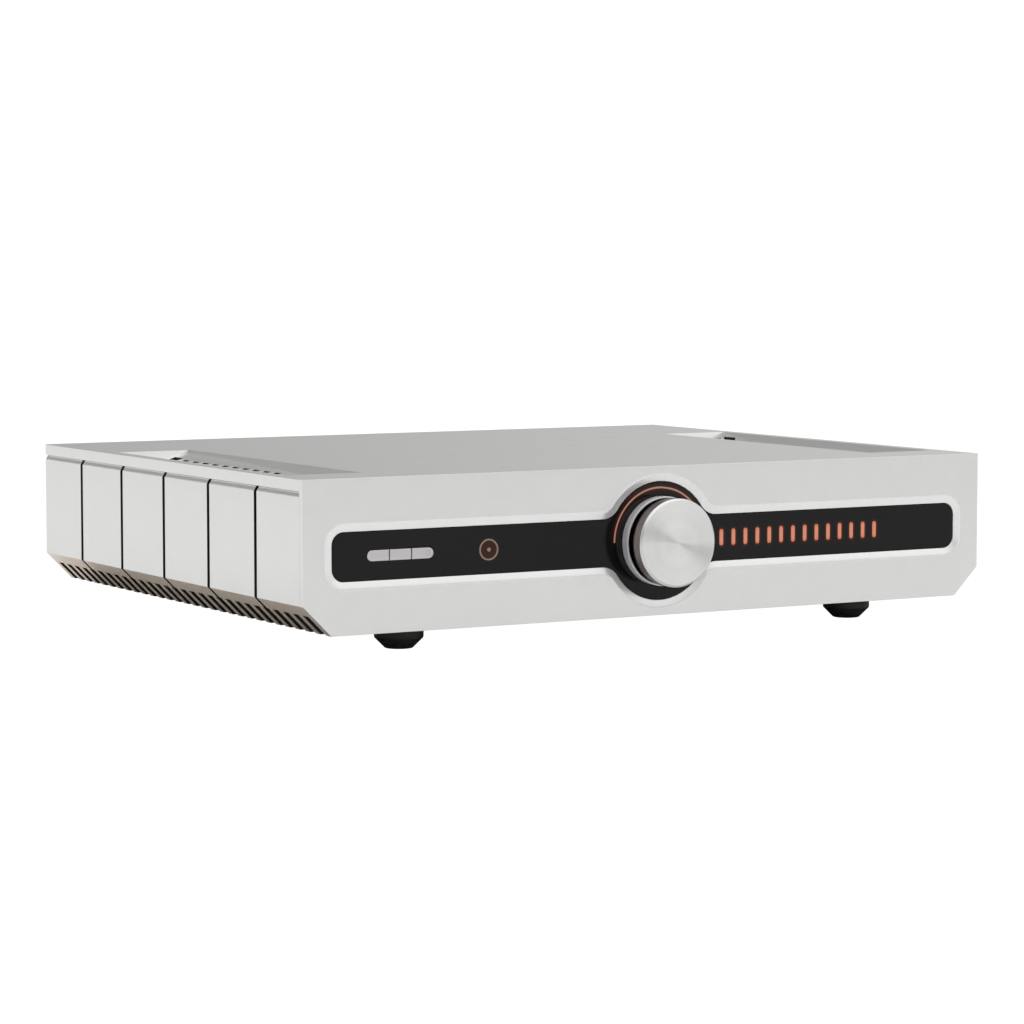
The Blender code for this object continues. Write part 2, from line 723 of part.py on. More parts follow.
def control_board():
    """The board behind the window, with the steel plate that carries it and the front panel."""
    outline = raised(window_outline(-CONTROL_BOARD_INSET))
    board = bmesh.new()
    prism(board, outline, "Y", CONTROL_BOARD_Y, CONTROL_BOARD_BACK_Y)
    piece("control_board", board, "board")
    plate_shape = bmesh.new()
    plate_outline = case_outline(SIDE_WALL + SEAT_GAP, BASE_TOP + SEAT_GAP, LID_UNDER_Z - SEAT_GAP)
    prism(plate_shape, plate_outline, "Y", SUBPLATE_Y, SUBPLATE_BACK_Y)
    plate = piece("front_subplate", plate_shape, "steel")
    bosses = bmesh.new()
    start = CONTROL_BOARD_BACK_Y + SEAT_GAP
    for side in (-1, 1):
        for level in (-1, 1):
            centre = (side * (CASE_WIDTH / 2 - PANEL_BOSS_INSET), CONTROL_Z + level * BOARD_BOSS_RISE)
            rod(bosses, "Y", centre, BOSS_RADIUS, start, SUBPLATE_Y + WELD_DEPTH, SMALL_FACETS)
    weld(plate, bosses)


def recess_rim(side):
    """The corners of the vent recess on one side of the top cover: outer, inner, front and back."""
    outer = side * (CASE_WIDTH / 2 - RECESS_RIM)
    return outer, outer - side * RECESS_WIDTH, FRONT_Y + RECESS_FRONT, REAR_Y - RECESS_BACK


def recess_floor(side):
    """The corners of the recess floor, at the foot of its walls: outer, inner, front and back."""
    outer, inner, front, back = recess_rim(side)
    run = RECESS_WALL_RUN
    return outer - side * run, inner + side * RECESS_SLOPE_RUN, front + run, back - run


def recess_cutter(shape, side):
    """A vent recess with three steep walls and a long slope on its inner side."""
    rings = []
    for height, (outer, inner, front, back) in (
        (TOP_Z - RECESS_DEPTH, recess_floor(side)),
        (TOP_Z, recess_rim(side)),
        (TOP_Z + CUT_OVERRUN, recess_rim(side)),
    ):
        corners = ((outer, front), (inner, front), (inner, back), (outer, back))
        rings.append([(x, y, height) for x, y in corners])
    loft(shape, rings)


def slot_cutters(shape, side):
    """The slots across the recess floor and up its inner slope: a wide one at the back, then a row."""
    outer, inner, front, back = recess_floor(side)
    under = LID_UNDER_Z - CUT_OVERRUN
    end = back - LID_SLOT_INSET
    ends = (outer + side * LID_END_SLOT_BITE, inner - side * LID_END_SLOT_CLIMB)
    low = (min(ends), end - LID_END_SLOT_WIDTH, under)
    block(shape, low, (max(ends), end, TOP_Z - LID_END_SLOT_ROOF))
    end -= LID_END_SLOT_WIDTH + LID_SLOT_PITCH - LID_SLOT_WIDTH
    ends = (outer - side * LID_SLOT_NEAR_GAP, inner - side * LID_SLOT_CLIMB)
    while end - LID_SLOT_WIDTH >= front + LID_SLOT_FRONT_GAP:
        block(shape, (min(ends), end - LID_SLOT_WIDTH, under), (max(ends), end, TOP_Z))
        end -= LID_SLOT_PITCH


def top_cover():
    """The lid: a plate with a deep edge, two slotted vent recesses and a relieved underside."""
    side_x = CASE_WIDTH / 2
    shape = bmesh.new()
    block(shape, (-side_x, PANEL_BACK_Y + SEAT_GAP, LID_UNDER_Z), (side_x, REAR_Y, TOP_Z))
    lid = piece("top_cover", shape, "silver")
    pocket = bmesh.new()
    half = side_x - RECESS_RIM - RECESS_WIDTH - LID_WEB
    block(
        pocket,
        (-half, FRONT_Y, LID_UNDER_Z - CUT_OVERRUN),
        (half, REAR_Y - LID_REAR_RIM, TOP_Z - LID_SKIN),
    )
    cut(lid, pocket)
    recesses = bmesh.new()
    slots = bmesh.new()
    for side in (-1, 1):
        recess_cutter(recesses, side)
        slot_cutters(slots, side)
    cut(lid, recesses)
    cut(lid, slots)


def side_panel_outline(side):
    """A side panel across its thickness: a bevel under the lid, wall, chamfer and a lip under the base."""
    roof = LID_UNDER_Z - LID_REVEAL
    bevel_top = LID_UNDER_Z - SEAT_GAP
    half = CASE_WIDTH / 2
    bend_z = UNDER_Z + EDGE_CHAMFER
    lip_top = UNDER_Z + SIDE_LIP_THICKNESS
    lip_end = half - EDGE_CHAMFER - SIDE_LIP_WIDTH
    inner_bend = bend_z + SIDE_WALL * BEND_LEAN
    outline = [
        (half, roof),
        (half, bend_z),
        (half - EDGE_CHAMFER, UNDER_Z),
        (lip_end, UNDER_Z),
        (lip_end, lip_top),
        (case_half_width(SIDE_WALL, lip_top), lip_top),
        (half - SIDE_WALL, inner_bend),
        (half - SIDE_WALL, bevel_top),
        (half - LID_REVEAL_DEPTH, bevel_top),
    ]
    return [(side * u, v) for u, v in outline]


def groove_outline(side):
    """The section of a groove: over the bevel, down the wall and on across the chamfer."""
    half = CASE_WIDTH / 2
    bend_z = UNDER_Z + EDGE_CHAMFER
    above = LID_UNDER_Z
    below = UNDER_Z - CUT_OVERRUN
    outline = [
        (half + CUT_OVERRUN, above),
        (half + CUT_OVERRUN, bend_z - CUT_OVERRUN * BEND_LEAN),
        (case_half_width(-CUT_OVERRUN, below), below),
        (case_half_width(GROOVE_DEPTH, below), below),
        (half - GROOVE_DEPTH, bend_z + GROOVE_DEPTH * BEND_LEAN),
        (half - GROOVE_DEPTH, above),
    ]
    return [(side * u, v) for u, v in outline]


def side_slot_outline(side):
    """The section of a vent slot: from part way down the chamfer to its lower edge and into the lip."""
    half = CASE_WIDTH / 2
    lean = math.sqrt(0.5)
    start_x = half - SIDE_SLOT_DROP
    start_z = UNDER_Z + EDGE_CHAMFER - SIDE_SLOT_DROP
    inside = (SIDE_WALL + CUT_OVERRUN) * lean
    outside = CUT_OVERRUN * lean
    lip_x = half - EDGE_CHAMFER - SIDE_SLOT_LIP_RUN
    top_x = start_x - inside
    top_z = start_z + inside
    outline = [
        (start_x + outside, start_z - outside),
        (half - EDGE_CHAMFER + CUT_OVERRUN, UNDER_Z - CUT_OVERRUN),
        (lip_x, UNDER_Z - CUT_OVERRUN),
        (lip_x, top_z - (top_x - lip_x)),
        (top_x, top_z),
    ]
    return [(side * u, v) for u, v in outline]


def side_panels():
    """Both side panels, with grooves, vent slots and the ledge that carries the lid."""
    start = PANEL_BACK_Y + SEAT_GAP
    middle = (FRONT_Y + REAR_Y) / 2
    grooves = centred_places(middle, CASE_DEPTH - 2 * GROOVE_END_MARGIN, GROOVE_PITCH)
    slot_pitch = GROOVE_PITCH / SLOTS_PER_GROOVE
    reach = int((CASE_DEPTH / 2 - SIDE_SLOT_END_MARGIN) / slot_pitch)
    for side, name in ((-1, "left_side_panel"), (1, "right_side_panel")):
        shape = bmesh.new()
        prism(shape, side_panel_outline(side), "Y", start, REAR_Y)
        panel = piece(name, shape, "silver")
        ledge = bmesh.new()
        outer = side * (CASE_WIDTH / 2 - SIDE_WALL + WELD_DEPTH)
        inner = side * (CASE_WIDTH / 2 - SIDE_WALL - LEDGE_WIDTH)
        ledge_top = LID_UNDER_Z - SEAT_GAP
        block(
            ledge,
            (min(outer, inner), SUBPLATE_BACK_Y + SEAT_GAP, ledge_top - LEDGE_DEPTH),
            (max(outer, inner), REAR_INSIDE_Y, ledge_top),
        )
        weld(panel, ledge)
        cuts = bmesh.new()
        for y in grooves:
            prism(cuts, groove_outline(side), "Y", y - GROOVE_WIDTH / 2, y + GROOVE_WIDTH / 2)
        cut(panel, cuts)
        slots = bmesh.new()
        for i in range(-reach, reach + 1):
            y = middle + i * slot_pitch
            prism(slots, side_slot_outline(side), "Y", y - SIDE_SLOT_WIDTH / 2, y + SIDE_SLOT_WIDTH / 2)
        cut(panel, slots)


def corner_places(low, high):
    """The four boss places inside the corners of a board."""
    xs = (low[0] + BOARD_BOSS_INSET, high[0] - BOARD_BOSS_INSET)
    ys = (low[1] + BOARD_BOSS_INSET, high[1] - BOARD_BOSS_INSET)
    return [(x, y) for x in xs for y in ys]


def supply_board_corners():
    """The power supply board's low and high corners in plan."""
    low = (SUPPLY_X[0], FRONT_Y + SUPPLY_FROM_FRONT[0])
    return low, (SUPPLY_X[1], FRONT_Y + SUPPLY_FROM_FRONT[1])


def amplifier_board_corners():
    """The amplifier board's low and high corners in plan."""
    front = FRONT_Y + SUPPLY_FROM_FRONT[1] + AMP_BEHIND_SUPPLY
    return (-AMP_HALF_WIDTH, front), (AMP_HALF_WIDTH, REAR_Y - AMP_BACK_SPACE)


def socket_columns():
    """The places of the analogue socket pairs across the width."""
    first = CASE_WIDTH / 2 - SIDE_WALL - SOCKET_FROM_WALL
    return [first + i * SOCKET_PITCH_X for i in range(SOCKET_PAIRS)]


def digital_columns():
    """The places of the digital sockets across the width."""
    return [CASE_WIDTH / 2 - SIDE_WALL - inset for inset in DIGITAL_FROM_WALL]


def input_board_corners():
    """The input board's low and high corners in plan, under both socket blocks."""
    low_x = socket_columns()[0] - SOCKET_PITCH_X / 2 - INPUT_BOARD_MARGIN
    high_x = digital_columns()[-1] + DIGITAL_HALF_FRAME + INPUT_BOARD_MARGIN
    return (low_x, REAR_INSIDE_Y - INPUT_BOARD_DEPTH), (high_x, REAR_INSIDE_Y)


def torus_centre():
    """The transformer's axis in plan."""
    return (TORUS_X, FRONT_Y + TORUS_FROM_FRONT)


def base_plate():
    """The steel base plate with a boss under each board corner and a hole for the transformer bolt."""
    half = case_half_width(SIDE_WALL + SEAT_GAP, BASE_Z)
    shape = bmesh.new()
    block(shape, (-half, PANEL_BACK_Y + SEAT_GAP, BASE_Z), (half, REAR_INSIDE_Y, BASE_TOP))
    plate = piece("base_plate", shape, "steel")
    bosses = bmesh.new()
    low_boards = (supply_board_corners(), amplifier_board_corners())
    places = [(place, BASE_TOP + BOARD_LIFT) for corners in low_boards for place in corner_places(*corners)]
    places += [(place, INPUT_BOARD_Z - SEAT_GAP) for place in corner_places(*input_board_corners())]
    for place, top in places:
        rod(bosses, "Z", place, BOSS_RADIUS, BASE_TOP - WELD_DEPTH, top, SMALL_FACETS)
    weld(plate, bosses)
    bolt_hole = bmesh.new()
    radius = BOLT_RADIUS + SEAT_GAP
    rod(bolt_hole, "Z", torus_centre(), radius, BASE_Z - CUT_OVERRUN, BASE_TOP + CUT_OVERRUN, SMALL_FACETS)
    cut(plate, bolt_hole)


def feet():
    """Four tapered feet under the base plate."""
    top = BASE_Z - SEAT_GAP
    profile = [
        (FOOT_SOLE_RADIUS, 0),
        (FOOT_RADIUS, FOOT_WAIST_HEIGHT),
        (FOOT_RADIUS, top),
    ]
    x = CASE_WIDTH / 2 - FOOT_INSET_X
    for row, y in (("front", FRONT_Y + FOOT_INSET_Y), ("rear", REAR_Y - FOOT_INSET_Y)):
        for side, place in (("left", -x), ("right", x)):
            shape = bmesh.new()
            turned(shape, "Z", (place, y), profile, MEDIUM_FACETS)
            piece(f"{row}_{side}_foot", shape, "black")


def transformer():
    """The ring-shaped transformer on its pad, held down by a dish and a bolt."""
    centre = torus_centre()
    pad_z = BASE_TOP + SEAT_GAP
    pad_top = pad_z + TORUS_PAD_THICKNESS
    core_z = pad_top + SEAT_GAP
    core_top = core_z + TORUS_HEIGHT
    dish_z = core_top + SEAT_GAP
    dish_top = dish_z + DISH_THICKNESS
    pad = bmesh.new()
    washer(pad, "Z", centre, (TORUS_PAD_RADIUS, TORUS_BORE), (pad_z, pad_top), MEDIUM_FACETS)
    piece("transformer_pad", pad, "black")
    core = bmesh.new()
    section = [
        (TORUS_RADIUS - TORUS_EDGE, core_z),
        (TORUS_RADIUS, core_z + TORUS_EDGE),
        (TORUS_RADIUS, core_top - TORUS_EDGE),
        (TORUS_RADIUS - TORUS_EDGE, core_top),
        (TORUS_BORE, core_top),
        (TORUS_BORE, core_z),
    ]
    turned(core, "Z", centre, section, MEDIUM_FACETS, bored=True)
    piece("transformer", core, "core")
    dish = bmesh.new()
    washer(dish, "Z", centre, (DISH_RADIUS, BOLT_RADIUS + SEAT_GAP), (dish_z, dish_top), MEDIUM_FACETS)
    piece("transformer_dish", dish, "steel")
    bolt = bmesh.new()
    head_z = dish_top + SEAT_GAP
    section = [
        (BOLT_RADIUS, BASE_Z),
        (BOLT_RADIUS, head_z),
        (BOLT_HEAD_RADIUS, head_z),
        (BOLT_HEAD_RADIUS, head_z + BOLT_HEAD_HEIGHT),
    ]
    turned(bolt, "Z", centre, section, SMALL_FACETS)
    piece("transformer_bolt", bolt, "steel")


def circuit_boards():
    """The power supply board with its capacitors, the amplifier board and the input board."""
    low_z = BASE_TOP + BOARD_LIFT + SEAT_GAP
    for name, corners, z in (
        ("power_supply_board", supply_board_corners(), low_z),
        ("amplifier_board", amplifier_board_corners(), low_z),
        ("input_board", input_board_corners(), INPUT_BOARD_Z),
    ):
        low, high = corners
        shape = bmesh.new()
        block(shape, (*low, z), (*high, z + BOARD_THICKNESS))
        piece(name, shape, "board")
    low, high = supply_board_corners()
    middle = ((low[0] + high[0]) / 2, (low[1] + high[1]) / 2)
    can_z = low_z + BOARD_THICKNESS + SEAT_GAP
    for side, name in ((-1, "left_capacitor"), (1, "right_capacitor")):
        centre = (middle[0] + side * CAPACITOR_SPAN / 2, middle[1])
        can = bmesh.new()
        rod(can, "Z", centre, CAPACITOR_RADIUS, can_z, can_z + CAPACITOR_HEIGHT, MEDIUM_FACETS)
        piece(name, can, "can")


def heat_sinks():
    """A finned heat sink along each side, each with two output transistors on its inner face."""
    front = FRONT_Y + SINK_FRONT_SPACE
    back = REAR_Y - SINK_BACK_SPACE
    floor = BASE_TOP + SEAT_GAP
    roof = LID_UNDER_Z - SINK_HEAD_SPACE
    plate_x = CASE_WIDTH / 2 - SINK_INSIDE_X
    root_x = plate_x + SINK_PLATE
    tip_x = root_x + SINK_FIN_REACH
    fins = centred_places((front + back) / 2, back - front - FIN_THICKNESS, FIN_PITCH)
    for side, label in ((-1, "left"), (1, "right")):
        outline = [(plate_x, back), (plate_x, front), (root_x, front)]
        for y in fins:
            low_y = y - FIN_THICKNESS / 2
            high_y = y + FIN_THICKNESS / 2
            outline += [(root_x, low_y), (tip_x, low_y), (tip_x, high_y), (root_x, high_y)]
        outline.append((root_x, back))
        shape = bmesh.new()
        prism(shape, [(side * u, v) for u, v in outline], "Z", floor, roof)
        piece(f"{label}_heat_sink", shape, "sink")
        for inset, order in zip(TRANSISTOR_FROM_SINK_END, ("rear", "front")):
            near = side * (plate_x - SEAT_GAP)
            far = near - side * TRANSISTOR_DEPTH
            y = back - inset
            low = (min(near, far), y - TRANSISTOR_WIDTH / 2, floor + TRANSISTOR_LIFT)
            high = (max(near, far), y + TRANSISTOR_WIDTH / 2, floor + TRANSISTOR_LIFT + TRANSISTOR_HEIGHT)
            body = bmesh.new()
            block(body, low, high)
            piece(f"{label}_{order}_transistor", body, "black")


def post_places():
    """Each speaker post's name and its place on the rear panel."""
    return [(name, (inset - CASE_WIDTH / 2, TERMINAL_Z)) for name, inset in zip(POST_NAMES, POST_FROM_SIDE)]


def inlet_centre():
    """The middle of the mains inlet on the rear panel."""
    return (INLET_FROM_SIDE - CASE_WIDTH / 2, TERMINAL_Z)


def rocker_centre():
    """The middle of the mains switch on the rear panel."""
    return (ROCKER_FROM_SIDE - CASE_WIDTH / 2, TERMINAL_Z)


def earth_centre():
    """The middle of the earth post on the rear panel."""
    return (CASE_WIDTH / 2 - EARTH_FROM_SIDE, TERMINAL_Z)


def socket_places():
    """The middles of the analogue sockets on the rear panel."""
    return [(x, z) for x in socket_columns() for z in (SOCKET_UPPER_Z, SOCKET_LOWER_Z)]


def grown(size, clearance):
    """A width and height with a clearance on every side."""
    return (size[0] + 2 * clearance, size[1] + 2 * clearance)


def digital_frame():
    """The width and height of a digital socket's frame."""
    return (2 * DIGITAL_HALF_FRAME, 2 * DIGITAL_HALF_FRAME)


def rear_panel():
    """The steel rear panel with a hole for each connector."""
    shape = bmesh.new()
    outline = case_outline(SIDE_WALL + SEAT_GAP, BASE_Z, LID_UNDER_Z - SEAT_GAP)
    prism(shape, outline, "Y", REAR_Y - REAR_THICKNESS, REAR_Y)
    panel = piece("rear_panel", shape, "steel")
    start = REAR_Y - REAR_THICKNESS - CUT_OVERRUN
    end = REAR_Y + CUT_OVERRUN
    holes = bmesh.new()
    plate_block(holes, inlet_centre(), grown(INLET_BODY, SEAT_GAP), start, end)
    plate_block(holes, rocker_centre(), grown(ROCKER_BODY, SEAT_GAP), start, end)
    for x in digital_columns():
        plate_block(holes, (x, SOCKET_LOWER_Z), grown(digital_frame(), SEAT_GAP), start, end)
    for centre in socket_places():
        rod(holes, "Y", centre, SOCKET_RADIUS + SEAT_GAP, start, end, SMALL_FACETS)
    for _, centre in post_places():
        rod(holes, "Y", centre, POST_SHANK_RADIUS + SEAT_GAP, start, end, SMALL_FACETS)
    rod(holes, "Y", earth_centre(), EARTH_SHANK_RADIUS + SEAT_GAP, start, end, SMALL_FACETS)
    cut(panel, holes)


def mains_inlet():
    """The three-pin mains inlet."""
    centre = inlet_centre()
    seat = REAR_Y + SEAT_GAP
    face = seat + INLET_FLANGE_THICKNESS
    floor = face - INLET_MOUTH_DEPTH
    shape = bmesh.new()
    plate_block(shape, centre, INLET_FLANGE, seat, face)
    inlet = piece("mains_inlet", shape, "black")
    body = bmesh.new()
    plate_block(body, centre, INLET_BODY, REAR_Y - INLET_BODY_DEPTH, seat + WELD_DEPTH)
    weld(inlet, body)
    mouth = bmesh.new()
    plate_block(mouth, centre, INLET_MOUTH, floor, face + CUT_OVERRUN)
    cut(inlet, mouth)
    pins = bmesh.new()
    for step, level in ((-1, -1), (0, 1), (1, -1)):
        place = (centre[0] + step * INLET_PIN_PITCH, centre[1] + level * INLET_PIN_OFFSET)
        plate_block(pins, place, INLET_PIN, floor - WELD_DEPTH, floor + INLET_PIN_LENGTH)
    weld(inlet, pins)


def mains_switch():
    """The mains switch: a frame in the rear panel and the rocker that tips in it."""
    centre = rocker_centre()
    seat = REAR_Y + SEAT_GAP
    face = seat + ROCKER_FLANGE_THICKNESS
    shape = bmesh.new()
    plate_block(shape, centre, ROCKER_FLANGE, seat, face)
    frame = piece("mains_switch_frame", shape, "black")
    body = bmesh.new()
    plate_block(body, centre, ROCKER_BODY, REAR_Y - ROCKER_BODY_DEPTH, seat + WELD_DEPTH)
    weld(frame, body)
    mouth = bmesh.new()
    plate_block(mouth, centre, ROCKER_MOUTH, face - ROCKER_MOUTH_DEPTH, face + CUT_OVERRUN)
    cut(frame, mouth)

    pivot = (REAR_Y - ROCKER_PIVOT_DEPTH, centre[1])
    half_x = ROCKER_MOUTH[0] / 2 - SEAT_GAP
    reach_z = ROCKER_MOUTH[1] / 2 - RUNNING_GAP
    heel_z = reach_z - ROCKER_HEEL
    outline = [
        (ROCKER_CREST, reach_z),
        (ROCKER_VALLEY, 0),
        (ROCKER_CREST, -reach_z),
        (-ROCKER_HEEL, -heel_z),
        (-ROCKER_KEEL, 0),
        (-ROCKER_HEEL, heel_z),
    ]
    cosine = math.cos(ROCKER_TILT)
    sine = math.sin(ROCKER_TILT)
    tipped = [(pivot[0] + u * cosine - v * sine, pivot[1] + u * sine + v * cosine) for u, v in outline]
    rocker = bmesh.new()
    prism(rocker, tipped, "X", centre[0] - half_x, centre[0] + half_x)
    piece("mains_switch_rocker", rocker, "black", (centre[0], *pivot))


def signal_sockets():
    """The block of analogue sockets and the block of digital sockets, both on the input board."""
    front = REAR_INSIDE_Y - SOCKET_BLOCK_DEPTH
    floor = SOCKET_LOWER_Z - SOCKET_BLOCK_MARGIN
    columns = socket_columns()
    margin = SOCKET_PITCH_X / 2
    roof = SOCKET_UPPER_Z + SOCKET_BLOCK_MARGIN
    shape = bmesh.new()
    block(shape, (columns[0] - margin, front, floor), (columns[-1] + margin, REAR_INSIDE_Y, roof))
    sockets = piece("analogue_sockets", shape, "black")
    collars = bmesh.new()
    bores = bmesh.new()
    tip = REAR_Y + SOCKET_REACH
    for centre in socket_places():
        rod(collars, "Y", centre, SOCKET_RADIUS, REAR_INSIDE_Y - WELD_DEPTH, tip, SMALL_FACETS)
        rod(bores, "Y", centre, SOCKET_BORE, tip - SOCKET_BORE_DEPTH, tip + CUT_OVERRUN, SMALL_FACETS)
    weld(sockets, collars)
    cut(sockets, bores)

    columns = digital_columns()
    margin = SOCKET_BLOCK_MARGIN - SEAT_GAP
    roof = SOCKET_LOWER_Z + margin
    shape = bmesh.new()
    block(shape, (columns[0] - margin, front, floor), (columns[-1] + margin, REAR_INSIDE_Y, roof))
    digital = piece("digital_sockets", shape, "black")
    frames = bmesh.new()
    mouths = bmesh.new()
    face = REAR_Y + DIGITAL_PROUD
    mouth = (2 * DIGITAL_HALF_MOUTH, 2 * DIGITAL_HALF_MOUTH)
    for x in columns:
        centre = (x, SOCKET_LOWER_Z)
        plate_block(frames, centre, digital_frame(), REAR_INSIDE_Y - WELD_DEPTH, face)
        plate_block(mouths, centre, mouth, face - DIGITAL_MOUTH_DEPTH, face + CUT_OVERRUN)
    weld(digital, frames)
    cut(digital, mouths)


def speaker_terminals():
    """Four speaker posts, each with a screw cap that turns on its stud."""
    seat = REAR_Y + SEAT_GAP
    shoulder = seat + POST_BASE_THICKNESS
    stud_end = REAR_Y + POST_STUD_REACH
    cap_y = shoulder + SEAT_GAP
    cap_end = REAR_Y + TERMINAL_REACH
    thread = POST_STUD_RADIUS + SEAT_GAP
    for name, centre in post_places():
        post = bmesh.new()
        profile = [
            (POST_SHANK_RADIUS, REAR_Y - POST_SHANK_LENGTH),
            (POST_SHANK_RADIUS, seat),
            (POST_BASE_RADIUS, seat),
            (POST_BASE_RADIUS, shoulder),
            (POST_STUD_RADIUS, shoulder),
            (POST_STUD_RADIUS, stud_end),
            (POST_BORE, stud_end),
            (POST_BORE, stud_end - POST_BORE_DEPTH),
        ]
        turned(post, "Y", centre, profile, SMALL_FACETS)
        piece(f"{name}_post", post, "brass")
        cap = bmesh.new()
        inside = stud_end + SEAT_GAP
        section = [
            (CAP_RADIUS, cap_y),
            (CAP_RADIUS, cap_end),
            (CAP_MOUTH, cap_end),
            (CAP_MOUTH, inside),
            (thread, inside),
            (thread, cap_y),
        ]
        turned(cap, "Y", centre, section, SMALL_FACETS, bored=True)
        finish = "red" if name.endswith("plus") else "black"
        piece(f"{name}_cap", cap, finish, (centre[0], REAR_Y, centre[1]))


def earth_terminal():
    """The small earth post and the nut that turns on it."""
    centre = earth_centre()
    seat = REAR_Y + SEAT_GAP
    shoulder = seat + EARTH_BASE_THICKNESS
    post = bmesh.new()
    profile = [
        (EARTH_SHANK_RADIUS, REAR_Y - EARTH_SHANK_LENGTH),
        (EARTH_SHANK_RADIUS, seat),
        (EARTH_BASE_RADIUS, seat),
        (EARTH_BASE_RADIUS, shoulder),
        (EARTH_RADIUS, shoulder),
        (EARTH_RADIUS, REAR_Y + EARTH_REACH),
    ]
    turned(post, "Y", centre, profile, SMALL_FACETS)
    piece("earth_post", post, "brass")
    nut = bmesh.new()
    start = shoulder + SEAT_GAP
    end = start + EARTH_NUT_LENGTH
    bore = EARTH_RADIUS + SEAT_GAP
    washer(nut, "Y", centre, (EARTH_NUT_RADIUS, bore), (start, end), SMALL_FACETS)
    piece("earth_nut", nut, "brass", (centre[0], REAR_Y, centre[1]))


def smooth_route(route, steps):
    """Points on a smooth curve through a route."""
    places = [Vector(place) for place in route]
    padded = [2 * places[0] - places[1], *places, 2 * places[-1] - places[-2]]
    smooth = []
    for before, start, end, after in zip(padded, padded[1:], padded[2:], padded[3:]):
        for i in range(steps):
            t = i / steps
            smooth.append(
                0.5
                * (
                    2 * start
                    + (end - before) * t
                    + (2 * before - 5 * start + 4 * end - after) * t**2
                    + (3 * start - before - 3 * end + after) * t**3
                )
            )
    return [*smooth, places[-1]]


def mains_harness():
    """The wires from the mains inlet along the left side to the transformer."""
    x, z = inlet_centre()
    start_y = REAR_Y - INLET_BODY_DEPTH - SEAT_GAP
    torus_x, torus_y = torus_centre()
    side_x = torus_x - TORUS_RADIUS - HARNESS_RADIUS - SEAT_GAP
    floor_z = BASE_TOP + HARNESS_RADIUS + HARNESS_FLOOR_GAP
    route = [
        (x, start_y, z),
        (x, start_y - 0.012, z),
        (x + 0.006, start_y - 0.030, z - 0.010),
        (side_x, start_y - 0.055, floor_z + 0.003),
        (side_x, start_y - 0.090, floor_z),
        (side_x, torus_y + 0.070, floor_z),
        (side_x, torus_y + 0.045, floor_z + 0.004),
        (side_x, torus_y + 0.025, floor_z + 0.014),
        (side_x, torus_y + 0.008, floor_z + 0.020),
        (side_x, torus_y, floor_z + 0.022),
    ]
    curve = bpy.data.curves.new("mains_harness", "CURVE")
    curve.dimensions = "3D"
    curve.bevel_depth = HARNESS_RADIUS
    curve.bevel_resolution = HARNESS_ROUNDNESS
    curve.use_fill_caps = True
    points = smooth_route(route, HARNESS_STEPS)
    spline = curve.splines.new("POLY")
    spline.points.add(len(points) - 1)
    for spot, place in zip(spline.points, points):
        spot.co = (*place, 1.0)
    obj = bpy.data.objects.new("mains_harness", curve)
    curve.materials.append(finish_material("mains_harness", "black"))
    bpy.context.scene.collection.objects.link(obj)


def main():
    """Builds every piece."""
    clear_scene()
    front_panel()
    display_window()
    light_guides()
    push_buttons()
    volume_control()
    control_board()
    top_cover()
    side_panels()
    base_plate()
    feet()
    transformer()
    circuit_boards()
    heat_sinks()
    rear_panel()
    mains_inlet()
    mains_switch()
    signal_sockets()
    speaker_terminals()
    earth_terminal()
    mains_harness()


main()
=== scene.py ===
"""Looks of a low silver integrated amplifier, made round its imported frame.

Metres, +X to the right of the front panel, +Y to the back, +Z up from the floor.
"""

import json
import logging
import math
from collections.abc import Callable, Sequence
from dataclasses import dataclass
from enum import Enum

import bmesh
import bpy
from mathutils import Matrix, Vector


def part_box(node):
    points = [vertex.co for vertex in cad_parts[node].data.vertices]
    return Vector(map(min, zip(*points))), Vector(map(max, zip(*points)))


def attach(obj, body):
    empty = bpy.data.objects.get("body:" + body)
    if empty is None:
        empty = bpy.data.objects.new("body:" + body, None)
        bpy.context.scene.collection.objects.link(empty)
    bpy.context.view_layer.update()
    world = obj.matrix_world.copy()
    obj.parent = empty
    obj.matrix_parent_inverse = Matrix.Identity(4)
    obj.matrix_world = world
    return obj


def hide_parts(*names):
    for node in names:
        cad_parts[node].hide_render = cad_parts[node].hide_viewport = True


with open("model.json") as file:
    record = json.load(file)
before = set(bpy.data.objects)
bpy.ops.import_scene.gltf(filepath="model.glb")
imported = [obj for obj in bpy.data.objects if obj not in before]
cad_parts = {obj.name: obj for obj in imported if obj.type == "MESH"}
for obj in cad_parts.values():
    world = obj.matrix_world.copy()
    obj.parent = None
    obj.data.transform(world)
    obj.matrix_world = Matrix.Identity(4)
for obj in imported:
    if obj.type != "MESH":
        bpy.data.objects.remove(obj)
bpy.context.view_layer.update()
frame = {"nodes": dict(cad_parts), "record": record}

LOG = logging.getLogger("amplifier_looks")

Flat = tuple[float, float]
Spot = tuple[float, float, float]
Colour = tuple[float, float, float]
Solid = bpy.types.Object
Polygon = bpy.types.MeshPolygon
Corner = bmesh.types.BMVert
NodeTree = bpy.types.NodeTree
Socket = bpy.types.NodeSocket
Outputs = bpy.types.NodeOutputs

SEAT_GAP = 0.0003
LIGHT_GAP = 0.0002
CUT_OVERRUN = 0.0010
FINE_FACETS = 128
ROUND_FACETS = 64
SMALL_FACETS = 32
EASE_STEPS = 4
SMOOTH_ANGLE = math.radians(35)
MERGE_DISTANCE = 1e-6
FLAT_ANGLE = math.radians(0.5)


